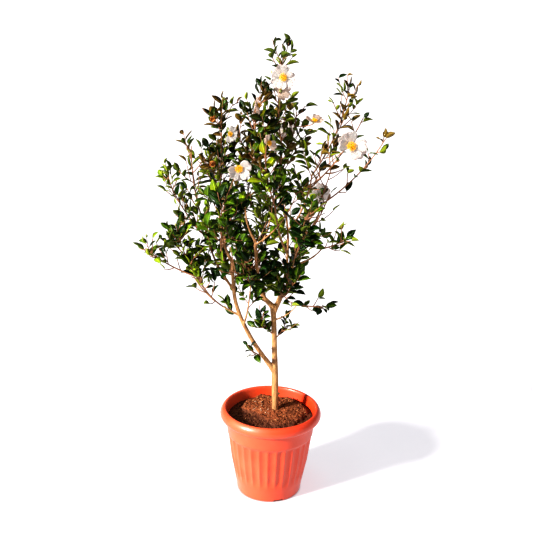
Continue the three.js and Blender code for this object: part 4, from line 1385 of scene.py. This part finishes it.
# %% Set the petals and stamens of every flower
PETAL_TURNS = [  # degrees from the top, leftwards, of the petals that the first flowers have left
    (0, 60, 122, 175, 225, 275, 318), (2, 52, 88, 208, 238, 278), (-62, -80, 104, 150, 188, 228),
    (45, 85, 270, 310, 180), (-60, -20, 160, 210, 260), (45, 80, 115, 150), (10, 45, 215, 250),
    (60, 120, 185, 250),
]
FADING = (3, 5, 6, 7)  # the flowers that have turned pink
STAMEN_COUNT = 90
petal_places = {"petals": [[] for _ in PETALS], "fading_petals": [[] for _ in PETALS]}
stamen_places = []
bud_places = []
flower_draw = stream(303)
for number, (_, centre, faces, size) in enumerate(FLOWERS):
    base = facing(centre, faces)
    turns = PETAL_TURNS[number] if number < len(PETAL_TURNS) else range(0, 360, 60)
    for k, degrees in enumerate(turns):
        turn = Matrix.Rotation(math.radians(degrees + 10 * (flower_draw() - 0.5)), 4, "Z")
        tilt = Matrix.Rotation(mix(-0.2, 0.3, flower_draw()), 4, "X")
        lift = Matrix.Translation((0, 0, (-0.05 + 0.012 * (k % 2)) * size * MM))
        scale = Matrix.Scale(size * mix(0.48, 0.58, flower_draw()) * MM, 4)
        places = petal_places["fading_petals" if number in FADING else "petals"]
        places[(k + number) % len(PETALS)].append(base @ lift @ turn @ tilt @ scale)
    for k in range(STAMEN_COUNT):
        out = math.sqrt((k + 0.5) / STAMEN_COUNT)
        turn = Matrix.Rotation(GOLDEN_ANGLE * k, 4, "Z")
        lean = Matrix.Rotation(-0.75 * out + 0.1 * (flower_draw() - 0.5), 4, "X")
        foot = Matrix.Translation((0, 0.05 * size * MM * out, -0.03 * size * MM))
        length = Matrix.Scale(size * mix(0.155, 0.195, flower_draw()) * MM, 4)
        stamen_places.append(base @ turn @ foot @ lean @ length)
    behind = Matrix.Translation((0, 0, -0.085 * size * MM))
    bud_places.append(base @ behind @ Matrix.Scale(size * 0.17 * MM, 4))


def petal_finish(name, middle, edge):
    """Thin petal skin, paler in its middle than at its edge, with faint veins and a faint painted glow for
    the light that shines through it.
    """
    # The petals' emission is painted light: a faint glow for the light that shines through them.
    finish = Finish(name, middle, Roughness=0.55, Specular_IOR_Level=0.25,
                    Subsurface_Weight=0.6, Subsurface_Radius=(1.0, 0.8, 0.75), Subsurface_Scale=0.004,
                    Emission_Color=(1.0, 0.80, 0.70, 1), Emission_Strength=0.09)
    side, along = finish.across("petal")
    near_rim = along.rises(0.72, 1.0) * 0.8 + abs(side).rises(0.75, 1.0) * 0.4
    rim = near_rim * finish.speckle(0.012, 3.0).rises(0.3, 0.75)
    throat = 1 - along.rises(0.0, 0.35)
    finish.in_spots(throat * 0.35, finish.blend(rim * 0.8, middle, edge), (0.45, 0.38, 0.20))
    veins = finish.lines(side * 26).rises(0.2, 1.0)
    finish.relief(veins * 0.4 + finish.speckle(0.006, 2.0) * 0.6, 0.0006)
    return finish


PETAL_COLOURS = {
    "petals": ((0.375, 0.345, 0.325), (0.40, 0.26, 0.235)),
    "fading_petals": ((0.42, 0.30, 0.235), (0.46, 0.24, 0.15)),
}
for name, colours in PETAL_COLOURS.items():
    petal_mesh = joined([dealt_out(p, places, name) for p, places in zip(PETALS, petal_places[name])], name)
    make_piece(name, petal_mesh, petal_finish(f"{name}_skin", *colours))
pollen = Finish("stamens", (0.95, 0.50, 0.01), Roughness=0.6, Specular_IOR_Level=0.15)
spots = pollen.speckle(0.002, 1.0).rises(0.4, 0.6)
pollen.in_spots(spots, (0.98, 0.60, 0.010), (0.92, 0.40, 0.004))
make_piece("stamens", dealt_out(STAMEN, stamen_places, "stamens"), pollen)

# %% [markdown]
# ## Cups, buds and withered flowers
# Green scales hold each flower from behind. Pointed buds wait at the tips of some twigs, and
# two withered flowers hang brown-orange at the left. They are small, but without them the
# crown looks too clean.

# %% Model the scales, buds and withered petals
def bud_template():
    """A pointed bud 1 m across."""
    shape = bmesh.new()
    bmesh.ops.create_uvsphere(shape, u_segments=10, v_segments=7, radius=0.5)
    for vert in shape.verts:
        vert.co.xy *= 1 - 0.55 * max(vert.co.z, 0)
        vert.co.z = vert.co.z * 1.35 + 0.35
    return mesh_of(shape, "bud")


bud_draw = stream(404)
for spray in fine_shoots[::9]:
    curve = spray["curve"]
    size = mix(5.5, 8.5, bud_draw()) * MM
    bud_places.append(facing(curve.at(1), way(curve, 1)) @ Matrix.Scale(size, 4))
bud_green = Finish("bud_green", (0.20, 0.24, 0.06), Roughness=0.45)
spots = bud_green.speckle(0.004, 2.0).rises(0.4, 0.6)
bud_green.in_spots(spots, (0.16, 0.22, 0.05), (0.33, 0.30, 0.10))
make_piece("buds", dealt_out(bud_template(), bud_places, "buds"), bud_green)

WITHERED = [  # centre, the way it faces, and its diameter
    ((-168, -70, 1150), (-0.3, -0.8, -0.4), 30), ((-166, -150, 1050), (-0.2, -0.9, -0.5), 28),
]
PETALS_LEFT = 5
withered_places = []
for centre, faces, size in WITHERED:
    for k in range(PETALS_LEFT):
        turn = Matrix.Rotation(FULL_TURN * k / PETALS_LEFT, 4, "Z")
        shut = Matrix.Rotation(mix(0.75, 1.15, bud_draw()), 4, "X")
        scale = Matrix.Scale(size * 0.6 * MM, 4)
        withered_places.append(facing(centre, faces) @ turn @ shut @ scale)
withered = Finish("withered_petal", (0.42, 0.15, 0.03), Roughness=0.7)
spots = withered.speckle(0.006, 3.0).rises(0.35, 0.65)
withered.in_spots(spots, (0.55, 0.22, 0.04), (0.22, 0.08, 0.02))
withered_mesh = dealt_out(PETALS[-1], withered_places, "withered")
make_piece("withered_flowers", withered_mesh, withered)

# %% [markdown]
# ## The floor
# The floor is the white paper of the studio. It glows, a painted light that stands in for the
# light the white studio throws on it, so the shadows on it stay faint. The glow fades out under
# the pot, which paints shade in the slots of its foot, and near the pot it turns pink, a painted
# reflection of the pot's colour. It isn't part of the shrub, so it is not made a piece.

# %% Lay the floor
FLOOR_HALF = 40  # metres
floor_shape = bmesh.new()
bmesh.ops.create_grid(floor_shape, x_segments=2, y_segments=2, size=FLOOR_HALF)
paper = Finish("white_paper", (0.35, 0.346, 0.354), Roughness=0.9, Specular_IOR_Level=0.1,
               Emission_Strength=1.0)
from_pot = paper.node("ShaderNodeVectorMath", {"operation": "LENGTH"}, {0: paper.place()}, output=1)
# Painted light: the glow stands in for the studio's fill light, and near the pot it turns pink, a painted
# reflection of the pot.
painted_glow = paper.blend(from_pot.rises(0.1, 0.22), (0.96, 0.86, 0.90), (0.97, 0.955, 1.0))
# Painted shade: no glow under the pot, so its slots look dark.
paper.shows(Emission_Color=paper.blend(from_pot.rises(0.088, 0.101), (0, 0, 0), painted_glow))
floor = added("floor", mesh_of(floor_shape, "floor"))
floor.data.materials.append(paper.material)
